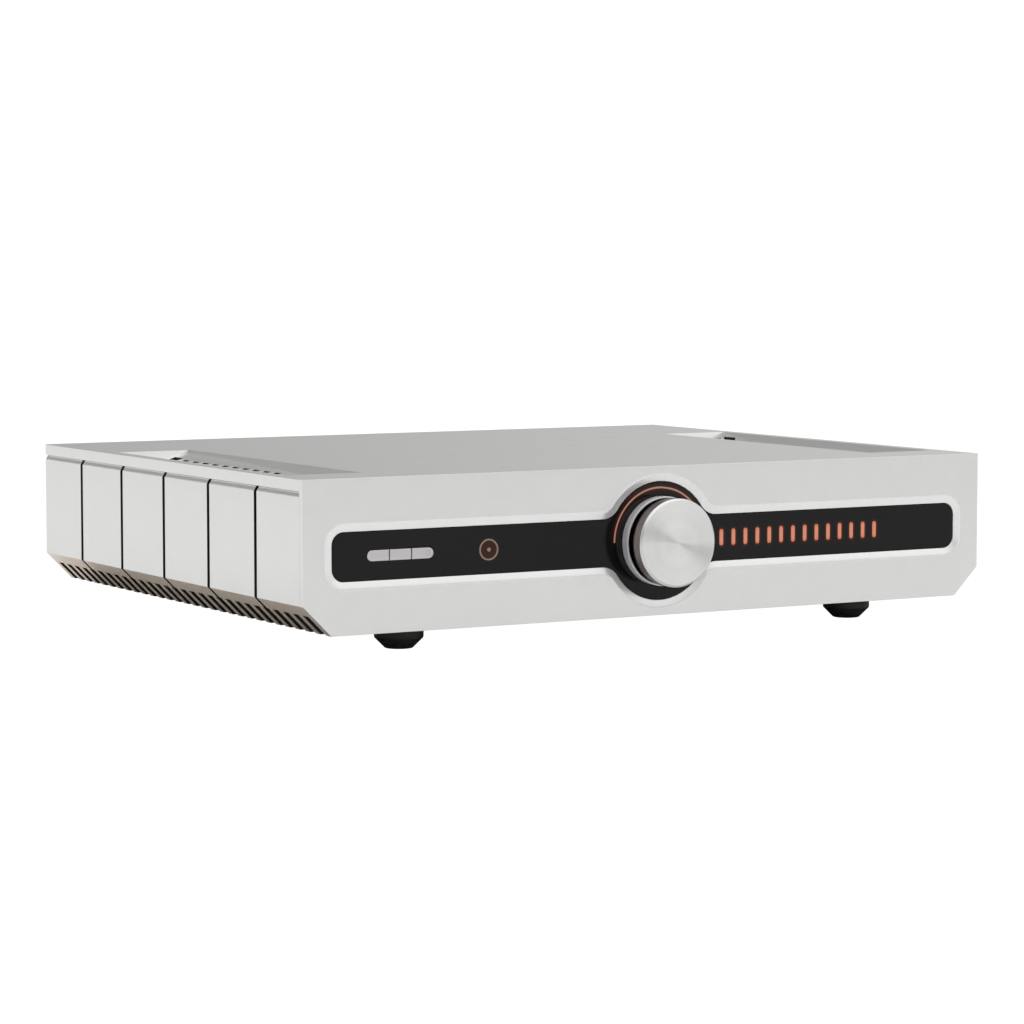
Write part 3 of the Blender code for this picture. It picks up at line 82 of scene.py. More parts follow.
class Axis(Enum):
    """The direction that a piece is turned about or extruded along."""

    X = 0
    Y = 1
    Z = 2

    def point(self, along: float, u: float, v: float) -> Vector:
        """A point from its place along this axis and its two other coordinates, in X, Y, Z order.

        Args:
            along: The place along the axis.
            u: The first of the other two coordinates.
            v: The second of them.

        Returns:
            The point.
        """
        places = [u, v]
        places.insert(self.value, along)
        return Vector(places)

    def loop(self, along: float, outline: Sequence[Flat]) -> list[Vector]:
        """A flat outline, set at a place along this axis."""
        return [self.point(along, u, v) for u, v in outline]


class Side(Enum):
    """A side of the case, seen from the front."""

    LEFT = -1
    RIGHT = 1


@dataclass(frozen=True)
class Layout:
    """Planes and sizes of the case, read from the frame."""

    half_width: float
    front_y: float
    panel_back_y: float
    rear_y: float
    under_z: float
    top_z: float
    control_z: float
    window_y: float
    window_back_y: float
    strip_half_length: float
    bulge_radius: float
    chamfer: float = 0.0160
    window_flange: float = 0.0040

    @classmethod
    def measure(cls) -> "Layout":
        """Reads the layout from the boxes of the case pieces.

        Returns:
            The layout.
        """
        panel_low, panel_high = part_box("front_panel")
        lid_low, lid_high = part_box("top_cover")
        window_low, window_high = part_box("display_window")
        return cls(
            half_width=panel_high.x,
            front_y=panel_low.y,
            panel_back_y=lid_low.y - SEAT_GAP,
            rear_y=lid_high.y,
            under_z=panel_low.z,
            top_z=panel_high.z,
            control_z=(window_low.z + window_high.z) / 2,
            window_y=window_low.y,
            window_back_y=window_high.y,
            strip_half_length=window_high.x - cls.window_flange,
            bulge_radius=(window_high.z - window_low.z) / 2 - cls.window_flange,
        )


CASE = Layout.measure()


def arc(centre: Flat, radius: float, start: float, end: float, steps: int) -> list[Flat]:
    """Points along an arc.

    Args:
        centre: The arc's middle.
        radius: Its radius.
        start: Its first angle in degrees.
        end: Its last angle in degrees.
        steps: The number of chords.

    Returns:
        The points, ends included.
    """
    turns = [math.radians(start + (end - start) * i / steps) for i in range(steps + 1)]
    return [(centre[0] + radius * math.cos(a), centre[1] + radius * math.sin(a)) for a in turns]


def circle(centre: Flat, radius: float, facets: int) -> list[Flat]:
    """A closed circle."""
    return arc(centre, radius, 0, 360, facets)[:-1]


def tube(outer: float, inner: float, start: float, end: float) -> list[Flat]:
    """The section of a bored piece, as pairs of a radius and a place along its axis."""
    return [(outer, start), (outer, end), (inner, end), (inner, start)]


def rounded(
    corners: Sequence[Flat], radius: float, steps: int = EASE_STEPS, closed: bool = True
) -> list[Flat]:
    """Rounds the corners of an outline or of an open profile.

    Args:
        corners: The sharp corners in order.
        radius: How far from a corner its round starts, at most half of each edge.
        steps: The number of chords in a round.
        closed: Whether the last corner joins the first.

    Returns:
        The rounded points.
    """
    spots = [Vector(corner) for corner in corners]
    points: list[Flat] = []
    for i, corner in enumerate(spots):
        if not closed and i in (0, len(spots) - 1):
            points.append(tuple(corner))
            continue
        before = spots[i - 1] - corner
        after = spots[(i + 1) % len(spots)] - corner
        start = corner + before.normalized() * min(radius, before.length / 2)
        end = corner + after.normalized() * min(radius, after.length / 2)
        for k in range(steps + 1):
            t = k / steps
            points.append(tuple(start * (1 - t) ** 2 + corner * 2 * t * (1 - t) + end * t**2))
    return points


def rectangle(centre: Flat, size: Flat) -> list[Flat]:
    """The four corners of a rectangle about a middle."""
    x, z = size[0] / 2, size[1] / 2
    return [(centre[0] + u * x, centre[1] + v * z) for u, v in ((-1, -1), (1, -1), (1, 1), (-1, 1))]


def stadium(
    low: float, high: float, half: float, round_low: bool = True, round_high: bool = True
) -> list[Flat]:
    """A level bar about the controls' centre line, with round or square ends.

    Args:
        low: Its left end.
        high: Its right end.
        half: Half its height.
        round_low: Whether the left end is round.
        round_high: Whether the right end is round.

    Returns:
        The outline.
    """
    z = CASE.control_z
    outline = [(high, z - half), (high, z + half)]
    if round_high:
        outline = arc((high - half, z), half, -90, 90, 2 * EASE_STEPS)
    if round_low:
        return outline + arc((low + half, z), half, 90, 270, 2 * EASE_STEPS)
    return outline + [(low, z + half), (low, z - half)]


def case_outline(inset: float) -> list[Flat]:
    """The case's outline across its width, moved in by an inset.

    Args:
        inset: How far it is moved in.

    Returns:
        The outline.
    """
    bend_z = CASE.under_z + CASE.chamfer
    side = CASE.half_width - inset
    floor = CASE.under_z + inset
    foot = CASE.half_width - bend_z - inset * math.sqrt(2) + floor
    bend = bend_z + inset * math.tan(math.radians(45) / 2)
    right = [(foot, floor), (side, bend), (side, CASE.top_z - inset)]
    return right + [(-u, v) for u, v in reversed(right)]


@dataclass(frozen=True)
class WindowOutline:
    """The window's outline: a long strip with a round bulge in the middle."""

    half_height: float = 0.0126
    corner: float = 0.0065
    fillet: float = 0.0120
    corner_steps: int = 10
    fillet_steps: int = 12
    bulge_steps: int = 28

    def grown(self, grow: float) -> list[Flat]:
        """The outline, grown all round.

        Args:
            grow: How far it is moved out.

        Returns:
            The outline in the plane of the front panel.
        """
        length = CASE.strip_half_length + grow
        height = self.half_height + grow
        bulge = CASE.bulge_radius + grow
        fillet = self.fillet - grow
        corner = self.corner + grow
        fillet_z = height + fillet
        fillet_x = math.sqrt((bulge + fillet) ** 2 - fillet_z**2)
        turn = math.degrees(math.atan2(fillet_z, fillet_x))
        quarter = arc((length - corner, height - corner), corner, 0, 90, self.corner_steps)
        quarter += arc((fillet_x, fillet_z), fillet, 270, 180 + turn, self.fillet_steps)
        quarter += arc((0, 0), bulge, turn, 90, self.bulge_steps)[1:]
        upper = quarter + [(-u, v) for u, v in reversed(quarter[:-1])]
        whole = upper + [(-u, -v) for u, v in upper]
        return [(u, CASE.control_z + v) for u, v in whole]


WINDOW = WindowOutline()


@dataclass(frozen=True)
class LightLayout:
    """Places and sizes of the lit marks in the window."""

    first_bar: float
    bar_step: float
    ring_x: float
    ring_radius: float
    bar_count: int = 14
    bar_width: float = 0.0022
    bar_height: float = 0.0090
    bar_margin: float = 0.0026
    arc_radius: float = 0.0289
    arc_width: float = 0.0007

    @classmethod
    def measure(cls) -> "LightLayout":
        """Reads the marks' places from the boxes of the light guides.

        Returns:
            The layout.
        """
        low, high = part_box("bar_light_guide")
        ring_low, ring_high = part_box("ring_light_guide")
        first = low.x + cls.bar_margin
        return cls(
            first_bar=first,
            bar_step=(high.x - cls.bar_margin - first) / (cls.bar_count - 1),
            ring_x=(ring_low.x + ring_high.x) / 2,
            ring_radius=(ring_high.x - ring_low.x) / 2,
        )


LIGHTS = LightLayout.measure()


class Shape:
    """A mesh in the making, with the index of the material that its next faces get."""

    def __init__(self) -> None:
        """Starts with no faces, in the first material."""
        self.mesh = bmesh.new()
        self.slot = 0

    def face(self, corners: Sequence[Corner]) -> None:
        """Adds one face in the current material."""
        self.mesh.faces.new(corners).material_index = self.slot

    def band(self, rings: Sequence[Sequence[Vector]], ring_shaped: bool = False) -> list[list[Corner]]:
        """Skins a row of equal loops and leaves its ends open.

        Args:
            rings: The loops in order.
            ring_shaped: Whether the last loop joins the first.

        Returns:
            The loops' corners.
        """
        loops = [[self.mesh.verts.new(spot) for spot in ring] for ring in rings]
        pairs = list(zip(loops, loops[1:]))
        if ring_shaped:
            pairs.append((loops[-1], loops[0]))
        for near, far in pairs:
            for i, corner in enumerate(near):
                j = (i + 1) % len(near)
                self.face((corner, near[j], far[j], far[i]))
        return loops

    def loft(self, rings: Sequence[Sequence[Vector]]) -> "Shape":
        """Skins a row of equal loops and closes both ends.

        Args:
            rings: The loops in order.

        Returns:
            This shape.
        """
        loops = self.band(rings)
        self.face(loops[0])
        self.face(loops[-1])
        return self

    def pierced(self, outer: Sequence[Corner], inner: Sequence[Corner]) -> None:
        """Fills the flat face between an outer loop and the hole in it.

        Args:
            outer: The outer loop's corners.
            inner: The hole's corners.
        """
        edges = []
        for loop in (outer, inner):
            for i, corner in enumerate(loop):
                pair = (corner, loop[(i + 1) % len(loop)])
                edges.append(self.mesh.edges.get(pair) or self.mesh.edges.new(pair))
        filled = bmesh.ops.triangle_fill(self.mesh, edges=edges, use_beauty=True)
        for item in filled["geom"]:
            if isinstance(item, bmesh.types.BMFace):
                item.material_index = self.slot

    def prism(self, outline: Sequence[Flat], axis: Axis, start: float, end: float) -> "Shape":
        """Extrudes a flat outline along an axis."""
        return self.loft([axis.loop(along, outline) for along in (start, end)])

    def block(self, low: Spot, high: Spot) -> "Shape":
        """A box between two corners."""
        outline = [(low[0], low[2]), (high[0], low[2]), (high[0], high[2]), (low[0], high[2])]
        return self.prism(outline, Axis.Y, low[1], high[1])

    def turned(
        self, axis: Axis, centre: Flat, profile: Sequence[Flat],
        facets: int = ROUND_FACETS, bored: bool = False,
    ) -> "Shape":
        """Turns a profile about an axis.

        Args:
            axis: The axis's direction.
            centre: Its place in the other two coordinates.
            profile: Pairs of a radius and a place along the axis.
            facets: The number of sides.
            bored: Whether the profile closes on itself round a bore.

        Returns:
            This shape.
        """
        rings = [axis.loop(along, circle(centre, radius, facets)) for radius, along in profile]
        if bored:
            self.band(rings, ring_shaped=True)
            return self
        return self.loft(rings)

    def ring(
        self, outer: Sequence[Flat], inner: Sequence[Flat], axis: Axis, start: float, end: float
    ) -> "Shape":
        """Extrudes the strip between two equal outlines along an axis.

        Args:
            outer: The outer outline.
            inner: The inner outline.
            axis: The axis.
            start: The strip's first end.
            end: Its other end.

        Returns:
            This shape.
        """
        sides = ((outer, start), (outer, end), (inner, end), (inner, start))
        self.band([axis.loop(along, outline) for outline, along in sides], ring_shaped=True)
        return self

    def merged(self) -> "Shape":
        """Merges corners at the same place."""
        bmesh.ops.remove_doubles(self.mesh, verts=self.mesh.verts, dist=MERGE_DISTANCE)
        return self

    def moved(self, matrix: Matrix) -> "Shape":
        """Moves and turns the whole shape."""
        self.mesh.transform(matrix)
        return self

    def made(self, name: str) -> Solid:
        """Turns the shape into an object with outward faces.

        Args:
            name: The object's name.

        Returns:
            The object, at the origin, with its place in its mesh.
        """
        bmesh.ops.recalc_face_normals(self.mesh, faces=self.mesh.faces)
        mesh = bpy.data.meshes.new(name)
        self.mesh.to_mesh(mesh)
        self.mesh.free()
        mesh.shade_smooth()
        mesh.set_sharp_from_angle(angle=SMOOTH_ANGLE)
        return linked(name, mesh)


def linked(name: str, data: bpy.types.ID) -> Solid:
    """Makes an object of some data and puts it in the scene.

    Args:
        name: The object's name.
        data: Its mesh or camera.

    Returns:
        The object.
    """
    obj = bpy.data.objects.new(name, data)
    bpy.context.scene.collection.objects.link(obj)
    return obj


def plain(obj: Solid) -> Solid:
    """Turns an object's modifiers into its own plain mesh.

    Args:
        obj: The object.

    Returns:
        The same object, without modifiers.
    """
    graph = bpy.context.evaluated_depsgraph_get()
    mesh = bpy.data.meshes.new_from_object(obj.evaluated_get(graph), depsgraph=graph)
    mesh.name = obj.name
    old = obj.data
    obj.modifiers.clear()
    obj.data = mesh
    bpy.data.meshes.remove(old)
    return obj


def eased(obj: Solid, width: float, segments: int = 2) -> Solid:
    """Rounds every sharp edge of an object.

    Args:
        obj: The object.
        width: The width of the rounds.
        segments: The chords in a round.

    Returns:
        The same object with a plain mesh.
    """
    bevel = obj.modifiers.new("ease", "BEVEL")
    bevel.width = width
    bevel.segments = segments
    bevel.limit_method = "ANGLE"
    bevel.angle_limit = SMOOTH_ANGLE
    return levelled(plain(obj))


def levelled(obj: Solid) -> Solid:
    """Shades an object smoothly, with its large flat faces kept flat beside their rounded edges.

    Args:
        obj: The object.

    Returns:
        The same object with a plain mesh.
    """
    obj.data.shade_smooth()
    obj.data.set_sharp_from_angle(angle=SMOOTH_ANGLE)
    weighting = obj.modifiers.new("level", "WEIGHTED_NORMAL")
    weighting.keep_sharp = True
    return plain(obj)


def cut(obj: Solid, cutter: Shape) -> Solid:
    """Cuts a shape out of an object.

    Args:
        obj: The object.
        cutter: The shape to take away.

    Returns:
        The same object with a plain mesh.
    """
    tool = cutter.made(f"{obj.name}_cutter")
    boolean = obj.modifiers.new("cut", "BOOLEAN")
    boolean.operation = "DIFFERENCE"
    boolean.solver = "EXACT"
    boolean.object = tool
    plain(obj)
    bpy.data.objects.remove(tool, do_unlink=True)
    return obj


def lined(obj: Solid, inside: Callable[[Polygon], bool]) -> Solid:
    """Gives an object's second material to the faces inside its slots and hollows.

    Args:
        obj: The object.
        inside: Whether a face is inside.

    Returns:
        The same object.
    """
    for face in obj.data.polygons:
        if inside(face):
            face.material_index = 1
    return obj


def held(obj: Solid, node: str) -> Solid:
    """Keeps an object's corners inside the box of a frame node.

    Args:
        obj: The object.
        node: The node's name.

    Returns:
        The same object.
    """
    low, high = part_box(node)
    for vert in obj.data.vertices:
        vert.co = [min(max(value, start), end) for value, start, end in zip(vert.co, low, high)]
    return obj


def refined(node: str, ease: float, segments: int = 2) -> Solid:
    """A copy of a frame node with its corners merged, its flat faces joined and its edges rounded.

    Args:
        node: The node's name.
        ease: The width of the rounds.
        segments: The chords in a round.

    Returns:
        The copy, without materials.
    """
    shape = Shape()
    shape.mesh.from_mesh(frame["nodes"][node].data)
    for face in shape.mesh.faces:
        face.material_index = 0
    mesh = shape.merged().mesh
    bmesh.ops.dissolve_limit(mesh, angle_limit=FLAT_ANGLE, verts=mesh.verts, edges=mesh.edges)
    return held(eased(shape.made(f"{node}_fine"), ease, segments), node)


class Pen:
    """Adds nodes to one tree and joins them."""

    def __init__(self, tree: NodeTree) -> None:
        """Takes the tree to draw in."""
        self.tree = tree

    def feed(self, socket: Socket, value: object) -> None:
        """Links a socket to another, or sets its value.

        Args:
            socket: The input.
            value: A socket or a value.
        """
        if isinstance(value, Socket):
            self.tree.links.new(value, socket)
        else:
            socket.default_value = value

    def node(self, kind: str, inputs: dict | None = None, **settings: object) -> bpy.types.Node:
        """Adds a node.

        Args:
            kind: Its type name.
            inputs: Values or sockets for its inputs, by name or number.
            settings: Its own settings.

        Returns:
            The node.
        """
        made = self.tree.nodes.new(kind)
        for name, value in settings.items():
            setattr(made, name, value)
        for name, value in (inputs or {}).items():
            self.feed(made.inputs[name], value)
        return made

    def math(self, operation: str, *values: object) -> Socket:
        """The result of a Math node."""
        return self.node("ShaderNodeMath", dict(enumerate(values)), operation=operation).outputs[0]

    def vector(self, operation: str, *values: object) -> bpy.types.Node:
        """A Vector Math node."""
        return self.node("ShaderNodeVectorMath", dict(enumerate(values)), operation=operation)

    def parts(self, vector: Socket) -> list[Socket]:
        """The three numbers of a vector."""
        return list(self.node("ShaderNodeSeparateXYZ", {0: vector}).outputs)

    def joined(self, x: object, y: object, z: object) -> Socket:
        """A vector from three numbers."""
        return self.node("ShaderNodeCombineXYZ", {0: x, 1: y, 2: z}).outputs[0]

    def span(self, value: object, low: float, high: float, start: float = 0.0, end: float = 1.0) -> object:
        """A value mapped smoothly from one range onto another, and held at its ends."""
        inputs = {"Value": value, "From Min": low, "From Max": high, "To Min": start, "To Max": end}
        return self.node("ShaderNodeMapRange", inputs, interpolation_type="SMOOTHSTEP").outputs["Result"]

    def mix(self, share: object, one: object, two: object) -> Socket:
        """A colour between two colours.

        Args:
            share: The second colour's share.
            one: The first colour.
            two: The second colour.

        Returns:
            The mixed colour.
        """
        made = self.node("ShaderNodeMix", data_type="RGBA")
        for socket, value in zip((made.inputs[0], made.inputs[6], made.inputs[7]), (share, one, two)):
            if isinstance(value, tuple):
                value = (*value, 1.0)
            self.feed(socket, value)
        return made.outputs[2]

    def noise(self, vector: object, scale: object, detail: float = 2.0) -> Socket:
        """The value of a noise texture."""
        inputs = {"Vector": vector, "Scale": scale, "Detail": detail}
        return self.node("ShaderNodeTexNoise", inputs).outputs[0]

    def distance(self, *steps: object) -> Socket:
        """The length of a step given by its two or three numbers."""
        return self.vector("LENGTH", self.joined(*steps, *[0.0] * (3 - len(steps)))).outputs["Value"]

    def group(self, tree: NodeTree, inputs: dict) -> Outputs:
        """The outputs of a shader node group."""
        return self.node("ShaderNodeGroup", inputs, node_tree=tree).outputs


class Tree:
    """A node group with named inputs and outputs, ready to be drawn."""

    def __init__(self, name: str, kind: str, inputs: dict[str, str], outputs: dict[str, str]) -> None:
        """Makes the group and its sockets.

        Args:
            name: The group's name.
            kind: Its tree type.
            inputs: The socket type of each input.
            outputs: The socket type of each output.
        """
        self.tree = bpy.data.node_groups.new(name, kind)
        for in_out, sockets in (("INPUT", inputs), ("OUTPUT", outputs)):
            for label, socket in sockets.items():
                self.tree.interface.new_socket(label, in_out=in_out, socket_type=f"NodeSocket{socket}")
        self.pen = Pen(self.tree)
        self.given = self.pen.node("NodeGroupInput").outputs
        self.result = self.pen.node("NodeGroupOutput").inputs


class SurfaceGroups:
    """The shader node groups that the finishes share."""

    MOTTLE_SHARE = 0.04
    MOTTLE_DETAIL = 4.0
    EDGE_MATCH = (0.99, 0.85)
    DUST_SCALE = 55.0
    DUST_DETAIL = 8.0
    DUST_DRIFT = (0.40, 0.75)

    def __init__(self) -> None:
        """Builds each group once."""
        self.grain = self.grain_group()
        self.edges = self.edge_group()
        self.dust = self.dust_group()

    def grain_group(self) -> NodeTree:
        """Fine grain and a broad mottle of the same surface.

        Returns:
            The group.
        """
        tree = Tree("surface_grain", "ShaderNodeTree", {"Vector": "Vector", "Size": "Float"},
                    {"Fine": "Float", "Broad": "Float"})
        pen = tree.pen
        scale = pen.math("DIVIDE", 1.0, tree.given["Size"])
        broad = pen.math("MULTIPLY", scale, self.MOTTLE_SHARE)
        pen.feed(tree.result["Fine"], pen.noise(tree.given["Vector"], scale))
        pen.feed(tree.result["Broad"], pen.noise(tree.given["Vector"], broad, self.MOTTLE_DETAIL))
        return tree.tree

    def edge_group(self) -> NodeTree:
        """A mask of the handled edges, whose colour is lightened partly as wear and partly as a painted
        highlight.

        Returns:
            The group.
        """
        tree = Tree("edge_wear", "ShaderNodeTree", {"Width": "Float"}, {"Edge": "Float"})
        pen = tree.pen
        round_normal = pen.node("ShaderNodeBevel", {"Radius": tree.given["Width"]}, samples=4).outputs[0]
        true_normal = pen.node("ShaderNodeNewGeometry").outputs["Normal"]
        match = pen.vector("DOT_PRODUCT", round_normal, true_normal).outputs["Value"]
        pen.feed(tree.result["Edge"], pen.span(match, *self.EDGE_MATCH))
        return tree.tree

    def dust_group(self) -> NodeTree:
        """A mask of the thin dust on level faces.

        Returns:
            The group.
        """
        tree = Tree("level_dust", "ShaderNodeTree", {"Vector": "Vector"}, {"Dust": "Float"})
        pen = tree.pen
        up = pen.parts(pen.node("ShaderNodeNewGeometry").outputs["Normal"])[2]
        patches = pen.noise(tree.given["Vector"], self.DUST_SCALE, self.DUST_DETAIL)
        drift = pen.span(patches, *self.DUST_DRIFT)
        pen.feed(tree.result["Dust"], pen.math("MULTIPLY", pen.span(up, 0.5, 1.0), drift))
        return tree.tree


GROUPS = SurfaceGroups()
DUST_COLOUR = (0.55, 0.54, 0.52)
DUST_DULLING = 0.5
MOTTLE_SPAN = (0.25, 0.75)
# How much lighter the edges are, partly for wear and partly as a painted highlight.
WORN_AND_LIT_EDGE = 1.4


@dataclass(frozen=True)
class Grain:
    """How a surface varies: grain size, its stretch, and how far relief, tone and gloss change with it."""

    size: float = 0.0005
    stretch: Spot = (1.0, 1.0, 1.0)
    relief: float = 0.00001
    tone: float = 0.05
    gloss: float = 0.05


@dataclass(frozen=True)
class Finish:
    """A surface finish with its shader values, its wear and dust, and its edges lightened partly as a painted
    highlight.
    """

    name: str
    slot: str
    colour: Colour
    roughness: float
    metallic: float = 0.0
    coat: float = 0.0
    specular: float = 0.5
    anisotropy: float = 0.0
    grain: Grain = Grain()
    edge_light: float = 0.0
    edge_width: float = 0.0006
    dust: float = 0.0

    def coordinates(self, pen: Pen, places: Socket) -> Socket:
        """The grain's own coordinates."""
        return pen.vector("MULTIPLY", places, self.grain.stretch).outputs[0]

    def shaded(self, share: float) -> Colour:
        """The finish's colour made lighter or darker."""
        return tuple(min(1.0, value * share) for value in self.colour)

    def tone(self, pen: Pen, places: Socket, grain: Outputs) -> Socket:
        """The colour over the surface before wear."""
        light, dark = self.shaded(1 + self.grain.tone), self.shaded(1 - self.grain.tone)
        return pen.mix(pen.span(grain["Broad"], *MOTTLE_SPAN), dark, light)

    def extra(self, pen: Pen, shader: bpy.types.Node, places: Socket) -> None:
        """What a special finish adds to its shader."""

    def material(self) -> bpy.types.Material:
        """Makes the finish's material once.

        Returns:
            The material.
        """
        made = bpy.data.materials.get(self.name)
        if made:
            return made
        made = bpy.data.materials.new(self.name)
        made.use_nodes = True
        pen = Pen(made.node_tree)
        shader = made.node_tree.nodes["Principled BSDF"]
        shader.inputs["Metallic"].default_value = self.metallic
        shader.inputs["Coat Weight"].default_value = self.coat
        shader.inputs["Specular IOR Level"].default_value = self.specular
        shader.inputs["Anisotropic"].default_value = self.anisotropy
        places = pen.node("ShaderNodeTexCoord").outputs["Object"]
        vector = self.coordinates(pen, places)
        grain = pen.group(GROUPS.grain, {"Vector": vector, "Size": self.grain.size})
        colour = self.tone(pen, places, grain)
        gloss = self.grain.gloss
        swing = pen.math("MULTIPLY_ADD", grain["Fine"], 2 * gloss, self.roughness - gloss)
        # Edges lightened in colour: partly wear, partly a painted highlight.
        if self.edge_light:
            edge = pen.group(GROUPS.edges, {"Width": self.edge_width})["Edge"]
            colour = pen.mix(pen.math("MULTIPLY", edge, self.edge_light), colour, self.shaded(WORN_AND_LIT_EDGE))
        if self.dust:
            dust = pen.math("MULTIPLY", pen.group(GROUPS.dust, {"Vector": places})["Dust"], self.dust)
            colour = pen.mix(dust, colour, DUST_COLOUR)
            swing = pen.math("ADD", swing, pen.math("MULTIPLY", dust, DUST_DULLING))
        pen.feed(shader.inputs["Base Color"], colour)
        pen.feed(shader.inputs["Roughness"], swing)
        bump = pen.node("ShaderNodeBump", {"Distance": self.grain.relief, "Height": grain["Fine"]})
        pen.feed(shader.inputs["Normal"], bump.outputs[0])
        self.extra(pen, shader, places)
        return made


@dataclass(frozen=True)
class SpunFinish(Finish):
    """Metal turned on a lathe: rings about the knob's axis and a highlight that fans out from it."""

    drift: float = 0.01
    fan_turn: float = 0.25

    def coordinates(self, pen: Pen, places: Socket) -> Socket:
        """The distance from the knob's axis, with a little drift round it.

        Args:
            pen: Draws in the material's tree.
            places: The object's coordinates.

        Returns:
            The coordinates.
        """
        x, _, z = pen.parts(places)
        rise = pen.math("SUBTRACT", z, CASE.control_z)
        drifts = [pen.math("MULTIPLY", step, self.drift) for step in (x, rise)]
        return pen.joined(pen.distance(x, rise), *drifts)

    def extra(self, pen: Pen, shader: bpy.types.Node, places: Socket) -> None:
        """Lays the highlight across the rings.

        Args:
            pen: Draws in the material's tree.
            shader: The material's shader.
            places: Not used.
        """
        shader.inputs["Anisotropic Rotation"].default_value = self.fan_turn
        tangent = pen.node("ShaderNodeTangent", direction_type="RADIAL", axis="Y")
        pen.feed(shader.inputs["Tangent"], tangent.outputs[0])


@dataclass(frozen=True)
class LampFinish(Finish):
    """A lit light guide, a little brighter in its middle."""

    lit_colour: Colour = (0.50, 0.20, 0.13)
    rim_colour: Colour = (0.44, 0.13, 0.06)
    rim: Flat = (0.0020, 0.0048)

    def extra(self, pen: Pen, shader: bpy.types.Node, places: Socket) -> None:
        """Lights the guide.

        Args:
            pen: Draws in the material's tree.
            shader: The material's shader.
            places: The object's coordinates.
        """
        shader.inputs["Emission Strength"].default_value = 1.0
        rise = pen.math("ABSOLUTE", pen.math("SUBTRACT", pen.parts(places)[2], CASE.control_z))
        colour = pen.mix(pen.span(rise, *self.rim), self.lit_colour, self.rim_colour)
        pen.feed(shader.inputs["Emission Color"], colour)


@dataclass(frozen=True)
class WindowFinish(Finish):
    """Polished black, with a painted glow of the lit marks: emission laid on the black round them."""

    line_reach: float = 0.0034
    line_share: float = 0.55
    line_fade: Flat = (-0.003, 0.006)
    bar_reach: float = 0.0016
    ring_reach: float = 0.0010
    ring_share: float = 0.45
    painted_glow_colour: Colour = (0.060, 0.0080, 0.0020)

    def extra(self, pen: Pen, shader: bpy.types.Node, places: Socket) -> None:
        """Adds the painted glow round the line, the bars and the ring.

        Args:
            pen: Draws in the material's tree.
            shader: The material's shader.
            places: The object's coordinates.
        """
        x, _, z = pen.parts(places)
        rise = pen.math("SUBTRACT", z, CASE.control_z)
        off = pen.math("ABSOLUTE", pen.math("SUBTRACT", pen.distance(x, rise), LIGHTS.arc_radius))
        line = pen.math("MULTIPLY", pen.span(off, self.line_reach, 0.0, 0.0, self.line_share),
                        pen.span(rise, *self.line_fade))
        along = pen.math("DIVIDE", pen.math("SUBTRACT", x, LIGHTS.first_bar), LIGHTS.bar_step)
        beside = pen.math("MULTIPLY", pen.math("PINGPONG", along, 0.5), LIGHTS.bar_step)
        straight = (LIGHTS.bar_height - LIGHTS.bar_width) / 2
        beyond = pen.math("MAXIMUM", pen.math("SUBTRACT", pen.math("ABSOLUTE", rise), straight), 0.0)
        gap = pen.math("SUBTRACT", pen.distance(beside, beyond), LIGHTS.bar_width / 2)
        row = pen.math("MULTIPLY", pen.math("GREATER_THAN", along, -0.5),
                       pen.math("LESS_THAN", along, LIGHTS.bar_count - 0.5))
        bars = pen.math("MULTIPLY", pen.span(gap, self.bar_reach, 0.0), row)
        spread = pen.distance(pen.math("SUBTRACT", x, LIGHTS.ring_x), rise)
        ring = pen.span(spread, LIGHTS.ring_radius + self.ring_reach, LIGHTS.ring_radius - self.ring_reach)
        ring = pen.math("MULTIPLY", ring, self.ring_share)
        # Painted light: the glow is emission on the black window round the marks, which are the lamps.
        glow = pen.math("MAXIMUM", pen.math("MAXIMUM", line, bars), ring)
        shader.inputs["Emission Strength"].default_value = 1.0
        pen.feed(shader.inputs["Emission Color"], pen.mix(glow, (0.0, 0.0, 0.0), self.painted_glow_colour))


@dataclass(frozen=True)
class SpangleFinish(Finish):
    """Zinc-plated sheet with its crystal spangle."""

    crystal: float = 0.006

    def tone(self, pen: Pen, places: Socket, grain: Outputs) -> Socket:
        """Tones that differ from crystal to crystal.

        Args:
            pen: Draws in the material's tree.
            places: The object's coordinates.
            grain: Not used.

        Returns:
            The colour.
        """
        cells = pen.node("ShaderNodeTexVoronoi", {"Vector": places, "Scale": 1 / self.crystal})
        patch = pen.parts(cells.outputs["Color"])[0]
        return pen.mix(patch, self.shaded(1 - self.grain.tone), self.shaded(1 + self.grain.tone))


@dataclass(frozen=True)
class BoardFinish(Finish):
    """A circuit board: solder mask with raised tracks and pads."""

    track_pitch: float = 0.0050
    track_width: float = 0.06
    track_run: float = 1.6
    track_row: float = 0.5
    pad_spread: float = 1.4
    pad_edge: Flat = (0.22, 0.18)
    track_colour: Colour = (0.05, 0.26, 0.11)
    pad_colour: Colour = (0.62, 0.60, 0.55)

    def tone(self, pen: Pen, places: Socket, grain: Outputs) -> Socket:
        """Tracks in two directions, and a scatter of soldered pads.

        Args:
            pen: Draws in the material's tree.
            places: The object's coordinates.
            grain: Not used.

        Returns:
            The colour.
        """
        scale = 1 / self.track_pitch
        sizes = {"Mortar Size": self.track_width, "Brick Width": self.track_run, "Row Height": self.track_row}
        bricks = pen.node("ShaderNodeTexBrick", {"Vector": places, "Scale": scale, **sizes})
        tracks = pen.mix(bricks.outputs["Fac"], self.colour, self.track_colour)
        cells = pen.node("ShaderNodeTexVoronoi", {"Vector": places, "Scale": self.pad_spread * scale})
        return pen.mix(pen.span(cells.outputs["Distance"], *self.pad_edge), tracks, self.pad_colour)


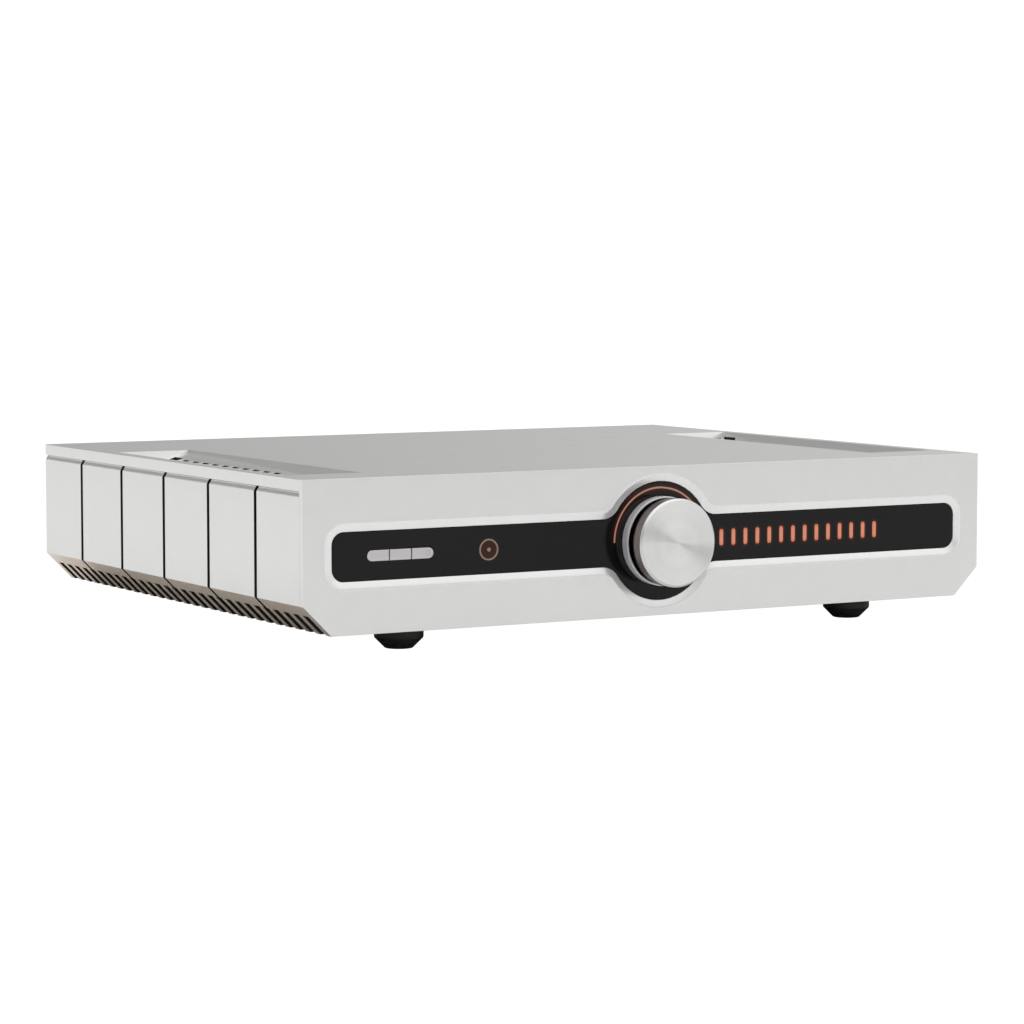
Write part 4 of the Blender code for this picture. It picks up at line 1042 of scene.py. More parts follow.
SATIN = Finish("satin_aluminium", "case_silver", (0.85, 0.85, 0.835), 0.22, metallic=1.0,
               grain=Grain(0.0004, relief=0.000004, tone=0.012, gloss=0.03), edge_light=0.15, dust=0.05)
POLISHED = Finish("polished_bevel", "case_silver", (0.95, 0.95, 0.94), 0.24, metallic=0.60,
                  grain=Grain(0.0004, relief=0.000002, tone=0.01, gloss=0.03))
# Painted shade: near-black laid on the insides of the grooves and slots, which are the case's own silver.
SLOT_PAINTED_SHADE = Finish("slot_black", "case_silver", (0.010, 0.010, 0.010), 0.60,
                    grain=Grain(0.0005, relief=0.00001, tone=0.2, gloss=0.08))
BRIGHT = Finish("bright_aluminium", "bright_aluminium", (0.86, 0.86, 0.85), 0.20, metallic=1.0,
                grain=Grain(0.0003, relief=0.000003, tone=0.02, gloss=0.04),
                edge_light=0.4, edge_width=0.0003)
SPUN = SpunFinish("spun_aluminium", "bright_aluminium", (0.91, 0.91, 0.90), 0.36, metallic=1.0,
                  anisotropy=1.0, grain=Grain(0.00025, relief=0.000003, tone=0.03, gloss=0.06))
# Painted shade: knurled aluminium darkened to stand in for the shade among the knurl's points.
KNURL_PAINTED_SHADE = Finish("knurled_aluminium", "bright_aluminium", (0.24, 0.20, 0.20), 0.30, metallic=1.0,
                 grain=Grain(0.0003, relief=0.000003, tone=0.08, gloss=0.05))
COLLAR = Finish("collar_satin", "bright_aluminium", (0.94, 0.95, 0.97), 0.45, metallic=0.55,
                grain=Grain(0.0003, relief=0.000003, tone=0.03, gloss=0.05))
BUTTON = Finish("button_satin", "bright_aluminium", (0.66, 0.64, 0.65), 0.36, metallic=1.0,
                grain=Grain(0.0003, (0.2, 1.0, 1.0), 0.000003, 0.03, 0.05), edge_light=0.3, edge_width=0.0003)
GLASS_BLACK = WindowFinish("polished_black", "window_black", (0.006, 0.006, 0.006), 0.12, specular=0.22,
                           grain=Grain(0.004, relief=0.0, tone=0.2, gloss=0.03), dust=0.02)
LAMP = LampFinish("lit_orange", "orange_light", (0.20, 0.04, 0.01), 0.30)
LINE_LAMP = LampFinish("lit_line", "orange_light", (0.06, 0.035, 0.025), 0.30, lit_colour=(0.30, 0.17, 0.125),
                       rim_colour=(0.32, 0.18, 0.13), rim=(0.005, 0.025))
RING_LAMP = LampFinish("lit_ring", "orange_light", (0.06, 0.04, 0.03), 0.30, lit_colour=(0.17, 0.12, 0.095),
                       rim_colour=(0.17, 0.12, 0.095))
MOULDED = Finish("moulded_black", "black_plastic", (0.020, 0.020, 0.021), 0.50,
                 grain=Grain(0.0003, relief=0.00002, tone=0.15, gloss=0.08), edge_light=0.15, dust=0.04)
GLOSSY = Finish("glossy_black", "black_gloss_plastic", (0.015, 0.015, 0.016), 0.18, coat=0.5,
                grain=Grain(0.0006, relief=0.000004, tone=0.15, gloss=0.04), edge_light=0.1)
RED = Finish("clear_red", "red_plastic", (0.42, 0.015, 0.015), 0.18, coat=0.5,
             grain=Grain(0.0006, relief=0.000004, tone=0.12, gloss=0.04), edge_light=0.15)
WHITE = Finish("moulded_white", "black_plastic", (0.75, 0.74, 0.71), 0.40,
               grain=Grain(0.0004, relief=0.000008, tone=0.04, gloss=0.05))
RUBBER = Finish("foot_rubber", "foot_black", (0.014, 0.014, 0.014), 0.55,
                grain=Grain(0.0004, relief=0.00002, tone=0.2, gloss=0.08), edge_light=0.1, dust=0.03)
REAR_PAINT = Finish("rear_paint", "rear_paint", (0.50, 0.50, 0.49), 0.48, metallic=0.6,
                    grain=Grain(0.0007, relief=0.00003, tone=0.05, gloss=0.06), edge_light=0.2, dust=0.03)
ZINC = SpangleFinish("zinc_sheet", "steel_sheet", (0.46, 0.47, 0.48), 0.38, metallic=1.0,
                     grain=Grain(0.0006, relief=0.000006, tone=0.10, gloss=0.06), edge_light=0.3)
GOLD = Finish("gold_plate", "brass", (0.83, 0.62, 0.26), 0.20, metallic=1.0,
              grain=Grain(0.0003, relief=0.000003, tone=0.04, gloss=0.04), edge_light=0.3, edge_width=0.0003)
BOARD = BoardFinish("solder_mask", "circuit_board", (0.025, 0.15, 0.065), 0.40,
                    grain=Grain(0.0005, relief=0.00001, tone=0.1, gloss=0.06))
WRAP = Finish("winding_tape", "transformer_core", (0.46, 0.30, 0.07), 0.28, coat=0.3,
              grain=Grain(0.0012, relief=0.00002, tone=0.14, gloss=0.08))
SLEEVE = Finish("capacitor_sleeve", "capacitor_sleeve", (0.025, 0.045, 0.15), 0.28,
                grain=Grain(0.0008, relief=0.00001, tone=0.1, gloss=0.05))
SINK = Finish("black_anodised", "heat_sink_black", (0.06, 0.06, 0.065), 0.42, metallic=0.8,
              grain=Grain(0.0004, (1.0, 1.0, 0.04), 0.000008, 0.12, 0.08), edge_light=0.4)
PRINT = Finish("rear_print", "rear_paint", (0.06, 0.06, 0.06), 0.55,
               grain=Grain(0.0005, relief=0.000004, tone=0.1, gloss=0.05))

FINISH_OF_SLOT = {
    finish.slot: finish
    for finish in (SATIN, BRIGHT, GLASS_BLACK, LAMP, MOULDED, GLOSSY, RED, RUBBER, REAR_PAINT, ZINC, GOLD,
                   BOARD, WRAP, SLEEVE, SINK)
}


class Repeats:
    """Geometry node trees that repeat a template."""

    SHARED = {"Template": "Object", "Material": "Material"}

    def __init__(self) -> None:
        """Builds each tree once."""
        self.on_line = self.line_tree()
        self.on_ring = self.ring_tree()
        self.on_spots = self.spot_tree()
        self.on_board = self.board_tree()

    def start(self, name: str, inputs: dict[str, str]) -> Tree:
        """Makes a tree that takes and gives a mesh."""
        sockets = {"Geometry": "Geometry", **self.SHARED, **inputs}
        return Tree(name, "GeometryNodeTree", sockets, {"Geometry": "Geometry"})

    def end(
        self, tree: Tree, points: object, rotation: object, moves: dict, **choice: object
    ) -> NodeTree:
        """Puts the template on each point, makes it real, moves it and sets its material.

        Args:
            tree: The tree.
            points: The points.
            rotation: Each copy's turn.
            moves: The place and turn of the whole.
            choice: Further inputs of the instancing node.

        Returns:
            The finished tree.
        """
        pen = tree.pen
        shape = pen.node("GeometryNodeObjectInfo", {"Object": tree.given["Template"]}).outputs["Geometry"]
        inputs = {"Points": points, "Instance": shape, "Rotation": rotation, **choice}
        copies = pen.node("GeometryNodeInstanceOnPoints", inputs).outputs[0]
        real = pen.node("GeometryNodeRealizeInstances", {0: copies}).outputs[0]
        moved = pen.node("GeometryNodeTransform", {"Geometry": real, **moves}).outputs[0]
        inputs = {"Geometry": moved, "Material": tree.given["Material"]}
        pen.feed(tree.result["Geometry"], pen.node("GeometryNodeSetMaterial", inputs).outputs[0])
        return tree.tree

    def line_tree(self) -> NodeTree:
        """Copies at an even step along a line.

        Returns:
            The tree.
        """
        tree = self.start("repeat_on_line", {"Count": "Int", "First": "Vector", "Step": "Vector"})
        pen = tree.pen
        index = pen.node("GeometryNodeInputIndex").outputs[0]
        run = pen.vector("MULTIPLY", tree.given["Step"], index).outputs[0]
        points = pen.node("GeometryNodePoints", {"Count": tree.given["Count"], "Position": run}).outputs[0]
        return self.end(tree, points, (0, 0, 0), {"Translation": tree.given["First"]})

    def ring_tree(self) -> NodeTree:
        """Copies round an axis along Y, in one or more staggered rows.

        Returns:
            The tree.
        """
        inputs = {"Count": "Int", "Rows": "Int", "Radius": "Float", "Row Pitch": "Float", "Stagger": "Float",
                  "Centre": "Vector", "Turn": "Vector"}
        tree = self.start("repeat_on_ring", inputs)
        pen, given = tree.pen, tree.given
        index = pen.node("GeometryNodeInputIndex").outputs[0]
        row = pen.math("FLOOR", pen.math("DIVIDE", pen.math("ADD", index, 0.5), given["Count"]))
        place = pen.math("MULTIPLY_ADD", row, given["Stagger"], index)
        angle = pen.math("MULTIPLY", pen.math("DIVIDE", place, given["Count"]), math.tau)
        x = pen.math("MULTIPLY", pen.math("COSINE", angle), given["Radius"])
        z = pen.math("MULTIPLY", pen.math("SINE", angle), given["Radius"])
        position = pen.joined(x, pen.math("MULTIPLY", row, given["Row Pitch"]), z)
        total = pen.math("MULTIPLY", given["Count"], given["Rows"])
        points = pen.node("GeometryNodePoints", {"Count": total, "Position": position}).outputs[0]
        rotation = pen.joined(0.0, pen.math("MULTIPLY", angle, -1.0), 0.0)
        return self.end(tree, points, rotation, {"Translation": given["Centre"], "Rotation": given["Turn"]})

    def spot_tree(self) -> NodeTree:
        """Copies on the corners of the object's own mesh."""
        tree = self.start("repeat_on_spots", {"Turn": "Vector"})
        return self.end(tree, tree.given["Geometry"], tree.given["Turn"], {})

    def board_tree(self) -> NodeTree:
        """Copies on a random choice of the places of a level grid.

        Returns:
            The tree.
        """
        inputs = {"Width": "Float", "Length": "Float", "Columns": "Int", "Lines": "Int", "Share": "Float",
                  "Seed": "Int", "Centre": "Vector"}
        tree = self.start("repeat_on_board", inputs)
        pen, given = tree.pen, tree.given
        grid = pen.node("GeometryNodeMeshGrid", {0: given["Width"], 1: given["Length"], 2: given["Columns"],
                                                 3: given["Lines"]}).outputs[0]
        pick = pen.node("FunctionNodeRandomValue", {"Probability": given["Share"], "Seed": given["Seed"]},
                        data_type="BOOLEAN").outputs[3]
        quarter = pen.node("FunctionNodeRandomValue", {4: 0, 5: 1, "Seed": given["Seed"]}, data_type="INT")
        rotation = pen.joined(0.0, 0.0, pen.math("MULTIPLY", quarter.outputs[2], math.pi / 2))
        return self.end(tree, grid, rotation, {"Translation": given["Centre"]}, Selection=pick)

    def made(
        self, name: str, tree: NodeTree, template: Shape, finish: Finish,
        spots: Sequence[Spot] = (), **values: object,
    ) -> Solid:
        """Repeats a template into one plain mesh.

        Args:
            name: The piece's name.
            tree: The tree to use.
            template: The shape to repeat.
            finish: The copies' finish.
            spots: Corners for a tree that reads them from the mesh.
            values: The tree's named inputs, with _ for a space.

        Returns:
            The piece.
        """
        mesh = bpy.data.meshes.new(name)
        mesh.from_pydata(list(spots), [], [])
        piece = linked(name, mesh)
        model = template.made(f"{name}_template")
        modifier = piece.modifiers.new(name, "NODES")
        modifier.node_group = tree
        named = {key.replace("_", " "): value for key, value in values.items()}
        named |= {"Template": model, "Material": finish.material()}
        for item in tree.interface.items_tree:
            if item.in_out == "INPUT" and item.name in named:
                modifier[item.identifier] = named[item.name]
        plain(piece)
        bpy.data.objects.remove(model, do_unlink=True)
        return piece


REPEATS = Repeats()
BODY_OF_NODE = {
    node: body for body, nodes in frame["record"]["behaviour"]["bodies"].items() for node in nodes
}
SLOT_OF_NODE = {part["node"]: part["material_slot"] for part in frame["record"]["subparts"]}


@dataclass
class Piece:
    """A finished mesh with its finishes, the body it rides on and the nodes it stands for."""

    obj: Solid
    finishes: tuple[Finish, ...]
    nodes: tuple[str, ...] = ()
    body: str = "chassis"


class SubAssembly:
    """A group of pieces that are built together."""

    def build(self) -> list[Piece]:
        """Builds the pieces."""
        raise NotImplementedError

    def dress(self, piece: Piece) -> None:
        """Gives a piece its finishes and hangs it on its body.

        Args:
            piece: The piece.
        """
        materials = piece.obj.data.materials
        if not materials:
            for finish in piece.finishes:
                materials.append(finish.material())
        body = BODY_OF_NODE[piece.nodes[0]] if piece.nodes else piece.body
        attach(piece.obj, body)
        if piece.nodes:
            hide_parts(*piece.nodes)
        LOG.info("%s rides on %s", piece.obj.name, body)


def middle(node: str) -> Vector:
    """The middle of a node's box."""
    low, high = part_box(node)
    return (low + high) / 2


def refined_piece(node: str, finish: Finish, ease: float, segments: int = 2) -> Piece:
    """A frame node with its edges rounded, in one finish."""
    return Piece(refined(node, ease, segments), (finish,), (node,))


@dataclass
class FrontPanel(SubAssembly):
    """The silver front panel: an eased plate with a bevelled cut-out and the bosses behind it."""

    edge: float = 0.0002
    face_strip: float = 0.0030
    bevel: float = 0.0038
    bevel_edge: float = 0.0004
    bevel_round: float = 0.0007
    boss_radius: float = 0.0035
    boss_inset: float = 0.0660
    boss_rise: float = 0.0120

    def build(self) -> list[Piece]:
        """Skins the plate's edge and its cut-out, and fills the faces between them.

        Returns:
            The panel.
        """
        front, back = CASE.front_y, CASE.panel_back_y
        edge = rounded([(self.face_strip, front), (0, front), (0, back)], self.edge, closed=False)
        mouth = SEAT_GAP + self.bevel
        foot = (SEAT_GAP, CASE.window_y)
        brow = [(mouth + self.face_strip / 2, front), (mouth, front), foot]
        opening = rounded(brow, self.bevel_round, closed=False)[:-1]
        opening += rounded([opening[-1], foot, (SEAT_GAP, back)], self.bevel_edge, closed=False)[1:]
        shape = Shape()
        outer = shape.band([Axis.Y.loop(y, case_outline(inset)) for inset, y in edge])
        rings = [Axis.Y.loop(y, WINDOW.grown(grow)) for grow, y in opening]
        strip = shape.band(rings[:2])
        shape.slot = 1
        inner = shape.band(rings[1:])
        shape.slot = 0
        shape.pierced(outer[0], strip[0])
        shape.pierced(outer[-1], inner[-1])
        shape.merged()
        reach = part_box("front_panel")[1].y
        rise = WINDOW.half_height + self.boss_rise
        for x in (self.boss_inset - CASE.half_width, CASE.half_width - self.boss_inset):
            for z in (CASE.control_z - rise, CASE.control_z + rise):
                profile = [(self.boss_radius, back - SEAT_GAP), (self.boss_radius, reach)]
                shape.turned(Axis.Y, (x, z), profile, SMALL_FACETS)
        return [Piece(levelled(shape.made("front_plate")), (SATIN, POLISHED), ("front_panel",))]


@dataclass
class DisplayWindow(SubAssembly):
    """The polished black window with its flange and openings."""

    edge: float = 0.0003
    face_strip: float = 0.0020
    bush_radius: float = 0.0048
    ring_width: float = 0.0008
    ring_depth: float = 0.0008
    dot_radius: float = 0.0011
    proud: float = 0.0001

    def bar_outline(self, grow: float) -> list[Flat]:
        """One upright bar about its own middle, with round ends.

        Args:
            grow: How far it is moved out.

        Returns:
            The outline.
        """
        half, end = LIGHTS.bar_width / 2 + grow, LIGHTS.bar_height / 2 - LIGHTS.bar_width / 2
        top = arc((0, end), half, 0, 180, 2 * EASE_STEPS)
        return top + arc((0, -end), half, 180, 360, 2 * EASE_STEPS)

    def arc_band(self, grow: float) -> list[Flat]:
        """The outline of the light line over the knob.

        Args:
            grow: How far it is moved out.

        Returns:
            The outline.
        """
        half = LIGHTS.arc_width / 2 + grow
        middle_spot = (0, CASE.control_z)
        outer = arc(middle_spot, LIGHTS.arc_radius + half, 0, 180, ROUND_FACETS)
        return outer + arc(middle_spot, LIGHTS.arc_radius - half, 180, 0, ROUND_FACETS)

    def openings(self) -> Shape:
        """The holes for the bars, the line, the buttons and the encoder, and the ring's groove.

        Returns:
            The shape to cut away.
        """
        start, end = CASE.window_y - CUT_OVERRUN, CASE.window_back_y + CUT_OVERRUN
        holes = Shape()
        for i in range(LIGHTS.bar_count):
            x = LIGHTS.first_bar + i * LIGHTS.bar_step
            outline = [(x + u, CASE.control_z + v) for u, v in self.bar_outline(LIGHT_GAP)]
            holes.prism(outline, Axis.Y, start, end)
        holes.prism(self.arc_band(LIGHT_GAP), Axis.Y, start, end)
        low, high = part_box("left_button")[0].x - SEAT_GAP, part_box("right_button")[1].x + SEAT_GAP
        holes.prism(stadium(low, high, PushButtons.half_height + SEAT_GAP), Axis.Y, start, end)
        bush = [(self.bush_radius, start), (self.bush_radius, end)]
        holes.turned(Axis.Y, (0, CASE.control_z), bush, ROUND_FACETS)
        outer = LIGHTS.ring_radius + LIGHT_GAP
        inner = outer - self.ring_width - 2 * LIGHT_GAP
        floor = CASE.window_y + self.ring_depth + LIGHT_GAP
        groove = tube(outer, inner, start, floor)
        holes.turned(Axis.Y, (LIGHTS.ring_x, CASE.control_z), groove, ROUND_FACETS, bored=True)
        return holes

    def build(self) -> list[Piece]:
        """Makes the window, the light bars, the line, and the ring with its dot.

        Returns:
            The window and its lights.
        """
        flange_y = CASE.panel_back_y + SEAT_GAP
        profile = [(-self.face_strip, CASE.window_y), (0, CASE.window_y), (0, flange_y)]
        profile = rounded(profile, self.edge, 3, closed=False)
        profile += [(CASE.window_flange, flange_y), (CASE.window_flange, CASE.window_back_y)]
        body = Shape().loft([Axis.Y.loop(y, WINDOW.grown(grow)) for grow, y in profile])
        window = cut(body.made("window_pane"), self.openings())
        return [Piece(levelled(window), (GLASS_BLACK,), ("display_window",)), *self.lights()]

    def lights(self) -> list[Piece]:
        """The light guides: bars on a backing strip, the line over the knob, and the ring with its dot.

        Returns:
            The lights.
        """
        front = CASE.window_y - self.proud
        low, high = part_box("bar_light_guide")
        seat_y = CASE.window_back_y + SEAT_GAP
        bar = Shape().prism(self.bar_outline(0), Axis.Y, 0, seat_y - front)
        bars = REPEATS.made("light_bars", REPEATS.on_line, bar, LAMP, Count=LIGHTS.bar_count,
                            First=(LIGHTS.first_bar, front, CASE.control_z), Step=(LIGHTS.bar_step, 0, 0))
        strip = Shape().block((low.x, seat_y, low.z), (high.x, high.y, high.z)).made("light_bar_strip")
        line = Shape().prism(self.arc_band(0), Axis.Y, front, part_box("arc_light_guide")[1].y)
        outer, centre = LIGHTS.ring_radius, (LIGHTS.ring_x, CASE.control_z)
        inner, end = outer - self.ring_width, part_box("ring_light_guide")[1].y
        section = rounded(tube(outer, inner, front, end), self.proud, 2)
        circle = Shape().turned(Axis.Y, centre, section, ROUND_FACETS, bored=True)
        radius = self.dot_radius
        button = [(radius - self.proud, front), (radius, front + self.proud), (radius, end)]
        dot = Shape().turned(Axis.Y, centre, button, SMALL_FACETS)
        return [
            Piece(bars, (LAMP,), ("bar_light_guide",)),
            Piece(eased(strip, self.edge), (LAMP,)),
            Piece(line.made("light_line"), (LINE_LAMP,), ("arc_light_guide",)),
            Piece(circle.made("light_ring"), (RING_LAMP,), ("ring_light_guide",)),
            Piece(dot.made("light_dot"), (RING_LAMP,)),
        ]


@dataclass
class PushButtons(SubAssembly):
    """Three buttons in one pill-shaped row, with their switches."""

    half_height: float = 0.0029
    edge: float = 0.0005
    face_strip: float = 0.0015
    mark_radius: float = 0.0014
    mark_width: float = 0.0003
    mark_inset: float = 0.0036
    mark_proud: float = 0.00005
    names: tuple[str, ...] = ("left_button", "middle_button", "right_button")

    def build(self) -> list[Piece]:
        """Makes each button with its lip, the small ring on the last one, and the switches.

        Returns:
            The buttons, their switches and the ring.
        """
        pieces = []
        for i, name in enumerate(self.names):
            low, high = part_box(name)
            lip_y = CASE.window_back_y + SEAT_GAP
            profile = rounded([(self.face_strip, low.y), (0, low.y), (0, lip_y)], self.edge, closed=False)
            ends = (i == 0, i == len(self.names) - 1)
            rings = []
            for inset, y in profile:
                outline = stadium(low.x + inset, high.x - inset, self.half_height - inset, *ends)
                rings.append(Axis.Y.loop(y, outline))
            shape = Shape().loft(rings).block((low.x, lip_y, low.z), tuple(high))
            pieces.append(Piece(levelled(shape.made(f"{name}_cap")), (BUTTON,), (name,)))
            pieces.append(refined_piece(f"{name}_switch", MOULDED, self.edge / 2))
        low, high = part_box(self.names[-1])
        centre = (high.x - self.mark_inset, CASE.control_z)
        outer, inner = self.mark_radius, self.mark_radius - self.mark_width
        section = tube(outer, inner, low.y + self.mark_proud, low.y - self.mark_proud)
        mark = Shape().turned(Axis.Y, centre, section, SMALL_FACETS, bored=True).made("right_button_ring")
        return [*pieces, Piece(mark, (ZINC,), body=BODY_OF_NODE[self.names[-1]])]


@dataclass
class VolumeKnob(SubAssembly):
    """The knob: a spun face on a knurled barrel, its dark hub and the collar behind it."""

    bevel: float = 0.0011
    rim_width: float = 0.0003
    plain_band: float = 0.0003
    knurl_depth: float = 0.00045
    knurl_count: int = 144
    knurl_rows: int = 14
    knurl_share: float = 0.98
    face_thickness: float = 0.0030
    face_rings: Flat = (0.5, 0.03)
    tip: float = 0.0005
    ease: float = 0.0003
    collar_wall: float = 0.0010
    grub_setback: float = 0.0018
    grub_hole: float = 0.0018

    def knurl(self, width: float, length: float, depth: float) -> Shape:
        """A low diamond point for knurling, facing +X.

        Args:
            width: Half its width.
            length: Half its length.
            depth: Its height.

        Returns:
            The point.
        """
        shape = Shape()
        corners = ((-length, 0), (0, -width), (length, 0), (0, width))
        base = [shape.mesh.verts.new((-depth / 4, y, z)) for y, z in corners]
        tip = shape.mesh.verts.new((depth, 0, 0))
        shape.face(base)
        for i, corner in enumerate(base):
            shape.face((corner, base[(i + 1) % len(base)], tip))
        return shape

    def build(self) -> list[Piece]:
        """Makes the cap with its knurl, the hub and the collar.

        Returns:
            The cap, its knurl, the hub and the collar.
        """
        axis = (0, CASE.control_z)
        low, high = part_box("volume_knob")
        radius = high.x
        root = radius - self.knurl_depth
        hub_low, hub_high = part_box("knob_hub")
        pocket = hub_high.x + SEAT_GAP
        knurl_start, knurl_end = low.y + self.bevel + self.plain_band, high.y - self.plain_band
        cap = Shape()
        back = low.y + self.face_thickness
        inside = [(self.tip, back), (pocket, back), (pocket, high.y)]
        barrel = [(radius, high.y), (radius, knurl_end), (root, knurl_end), (root, knurl_start)]
        # The hollow and the barrel under the knurl take the knurl's darkened colour, which is painted shade.
        cap.slot = 2
        hollow = cap.band([self.circle(spot) for spot in inside + barrel])
        cap.face(hollow[0])
        face = radius - self.bevel - self.rim_width
        rim = [(root, knurl_start), (radius, knurl_start), (radius, low.y + self.bevel),
               (radius - self.bevel, low.y), (face, low.y)]
        cap.slot = 1
        loops = cap.band([self.circle(spot) for spot in rounded(rim, self.plain_band / 2, 3, closed=False)])
        cap.slot = 0
        self.spun_face(cap, loops[-1], face, low.y)
        knob = cap.merged().made("knob_cap")
        length = (knurl_end - knurl_start) / self.knurl_rows
        width = math.pi * root / self.knurl_count
        points = self.knurl(*(size * self.knurl_share for size in (width, length, self.knurl_depth)))
        knurling = REPEATS.made(
            "knob_knurling", REPEATS.on_ring, points, KNURL_PAINTED_SHADE, Count=self.knurl_count,
            Rows=self.knurl_rows - 1, Radius=root, Row_Pitch=length, Stagger=0.5,
            Centre=(0, knurl_start + length, CASE.control_z),
        )
        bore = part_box("encoder_shaft")[1].x + SEAT_GAP
        section = rounded(tube(hub_high.x, bore, hub_low.y, hub_high.y), self.ease)
        hub = Shape().turned(Axis.Y, axis, section, FINE_FACETS, bored=True).made("knob_neck")
        grub = (0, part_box("knob_collar")[0].y - self.grub_setback)
        depth = [(self.grub_hole, CASE.control_z - radius), (self.grub_hole, CASE.control_z)]
        hub = cut(hub, Shape().turned(Axis.Z, grub, depth, SMALL_FACETS))
        ring_low, ring_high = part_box("knob_collar")
        outer = ring_high.x
        section = rounded(tube(outer, outer - self.collar_wall, ring_low.y, ring_high.y), self.ease)
        collar = Shape().turned(Axis.Y, axis, section, FINE_FACETS, bored=True)
        return [
            Piece(levelled(knob), (SPUN, BRIGHT, KNURL_PAINTED_SHADE), ("volume_knob",)),
            Piece(knurling, (KNURL_PAINTED_SHADE,), body=BODY_OF_NODE["volume_knob"]),
            Piece(levelled(hub), (MOULDED,), ("knob_hub",)),
            Piece(levelled(collar.made("knob_ring")), (COLLAR,), ("knob_collar",)),
        ]

    def circle(self, spot: Flat) -> list[Vector]:
        """A circle round the knob's axis from a radius and a depth."""
        return Axis.Y.loop(spot[1], circle((0, CASE.control_z), spot[0], FINE_FACETS))

    def spun_face(self, cap: Shape, rim: Sequence[Corner], radius: float, face_y: float) -> None:
        """Fills the knob's face with rings down to a point in its middle.

        Args:
            cap: The knob's shape.
            rim: The corners of the face's edge.
            radius: The face's radius.
            face_y: The face's depth.
        """
        ring = cap.band([self.circle((radius * share, face_y)) for share in self.face_rings])
        for i, corner in enumerate(rim):
            j = (i + 1) % len(rim)
            cap.face((corner, rim[j], ring[0][j], ring[0][i]))
        cap.face(ring[-1])


@dataclass
class CaseShells(SubAssembly):
    """The top cover, the side panels, the rear panel, the base plate and the front sub-plate."""

    ease: float = 0.0002
    groove_ease: float = 0.00015
    sheet_ease: float = 0.0003
    rim: float = 0.0070
    recess: float = 0.0515
    slot_roof: float = 0.0025
    upright: float = 0.05
    groove_edge: float = 0.0001
    groove_facing: float = 0.3
    reveal: float = 0.0030
    reveal_lean: float = 0.593
    screw_radius: float = 0.0026
    screw_height: float = 0.0014
    head_round: float = 0.35
    head_facets: int = 24
    socket_share: float = 0.45
    socket_depth: float = 0.0008
    upper_row: tuple[float, ...] = (-0.196, -0.098, 0.0, 0.098, 0.196)
    upper_z: float = 0.0800
    lower_row: tuple[float, ...] = (-0.186, -0.062, 0.062, 0.186)
    lower_z: float = 0.0205
    under_row: tuple[float, ...] = (-0.100, 0.0, 0.100)
    lip_inset: float = 0.0130

    def screw(self) -> Shape:
        """A low round screw head with a hexagon socket, facing +Z from the panel it holds.

        Returns:
            The head.
        """
        radius, height = self.screw_radius, self.screw_height
        corners = [(radius, 0), (radius, height), (radius * 0.5, height)]
        profile = rounded(corners, radius * self.head_round, closed=False)
        rings = [Axis.Z.loop(along, circle((0, 0), size, self.head_facets)) for size, along in profile]
        socket = self.hexagon(radius * self.socket_share)
        rings += [Axis.Z.loop(along, socket) for along in (height, height - self.socket_depth)]
        return Shape().loft(rings)

    def hexagon(self, radius: float) -> list[Flat]:
        """A hexagon with as many points as the head has facets.

        Args:
            radius: How far its corners are from its middle.

        Returns:
            The points.
        """
        corners = arc((0, 0), radius, 0, 360, 6)
        steps = self.head_facets // 6
        points = []
        for start, end in zip(corners, corners[1:]):
            for k in range(steps):
                points.append(tuple(a + (b - a) * k / steps for a, b in zip(start, end)))
        return points

    def in_lid_slot(self, face: Polygon) -> bool:
        """Whether a face of the top cover is the upright wall of one of its slots, which is given the painted
        shade.

        Args:
            face: The face.

        Returns:
            True for a wall of a slot.
        """
        inset = CASE.half_width - abs(face.center.x)
        upright = abs(face.normal.z) < self.upright
        return upright and self.rim < inset < self.recess and face.center.z < CASE.top_z - self.slot_roof

    def in_groove(self, face: Polygon) -> bool:
        """Whether a face of a side panel is inside one of its grooves or slots, which is given the painted
        shade.

        Args:
            face: The face.

        Returns:
            True inside a groove or slot.
        """
        spot = face.center
        if not CASE.panel_back_y + CUT_OVERRUN < spot.y < CASE.rear_y - CUT_OVERRUN:
            return False
        inset = CASE.half_width - abs(spot.x)
        rise = max(0.0, spot.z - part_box("top_cover")[0].z + self.reveal)
        over_chamfer = (inset + spot.z - CASE.under_z - CASE.chamfer) / math.sqrt(2)
        edge = self.groove_edge / 5 if abs(face.normal.y) > self.groove_facing else self.groove_edge
        return min(inset - rise * self.reveal_lean, over_chamfer, spot.z - CASE.under_z) > edge

    def screws(self) -> list[Piece]:
        """The screws in the rear panel and under the case.

        Returns:
            The heads at the rear and those below.
        """
        rear = [(x, CASE.rear_y, self.upper_z) for x in self.upper_row]
        rear += [(x, CASE.rear_y, self.lower_z) for x in self.lower_row]
        lip_x = CASE.half_width - CASE.chamfer - self.lip_inset
        under = [(side.value * lip_x, y, CASE.under_z) for side in Side for y in self.under_row]
        pieces = []
        for name, spots, turn in (("rear_screws", rear, -math.pi / 2), ("base_screws", under, math.pi)):
            heads = REPEATS.made(name, REPEATS.on_spots, self.screw(), ZINC, spots, Turn=(turn, 0, 0))
            pieces.append(Piece(heads, (ZINC,)))
        return pieces

    def build(self) -> list[Piece]:
        """Refines the shells and adds their screws.

        Returns:
            The shells and their screws.
        """
        pieces = []
        for node, ease, inside in (
            ("top_cover", self.ease, self.in_lid_slot),
            ("left_side_panel", self.groove_ease, self.in_groove),
            ("right_side_panel", self.groove_ease, self.in_groove),
        ):
            # The faces inside the slots and grooves take the second finish, the painted shade.
            pieces.append(Piece(lined(refined(node, ease), inside), (SATIN, SLOT_PAINTED_SHADE), (node,)))
        for node, finish in (("rear_panel", REAR_PAINT), ("base_plate", ZINC), ("front_subplate", ZINC)):
            pieces.append(refined_piece(node, finish, self.sheet_ease))
        return pieces + self.screws()


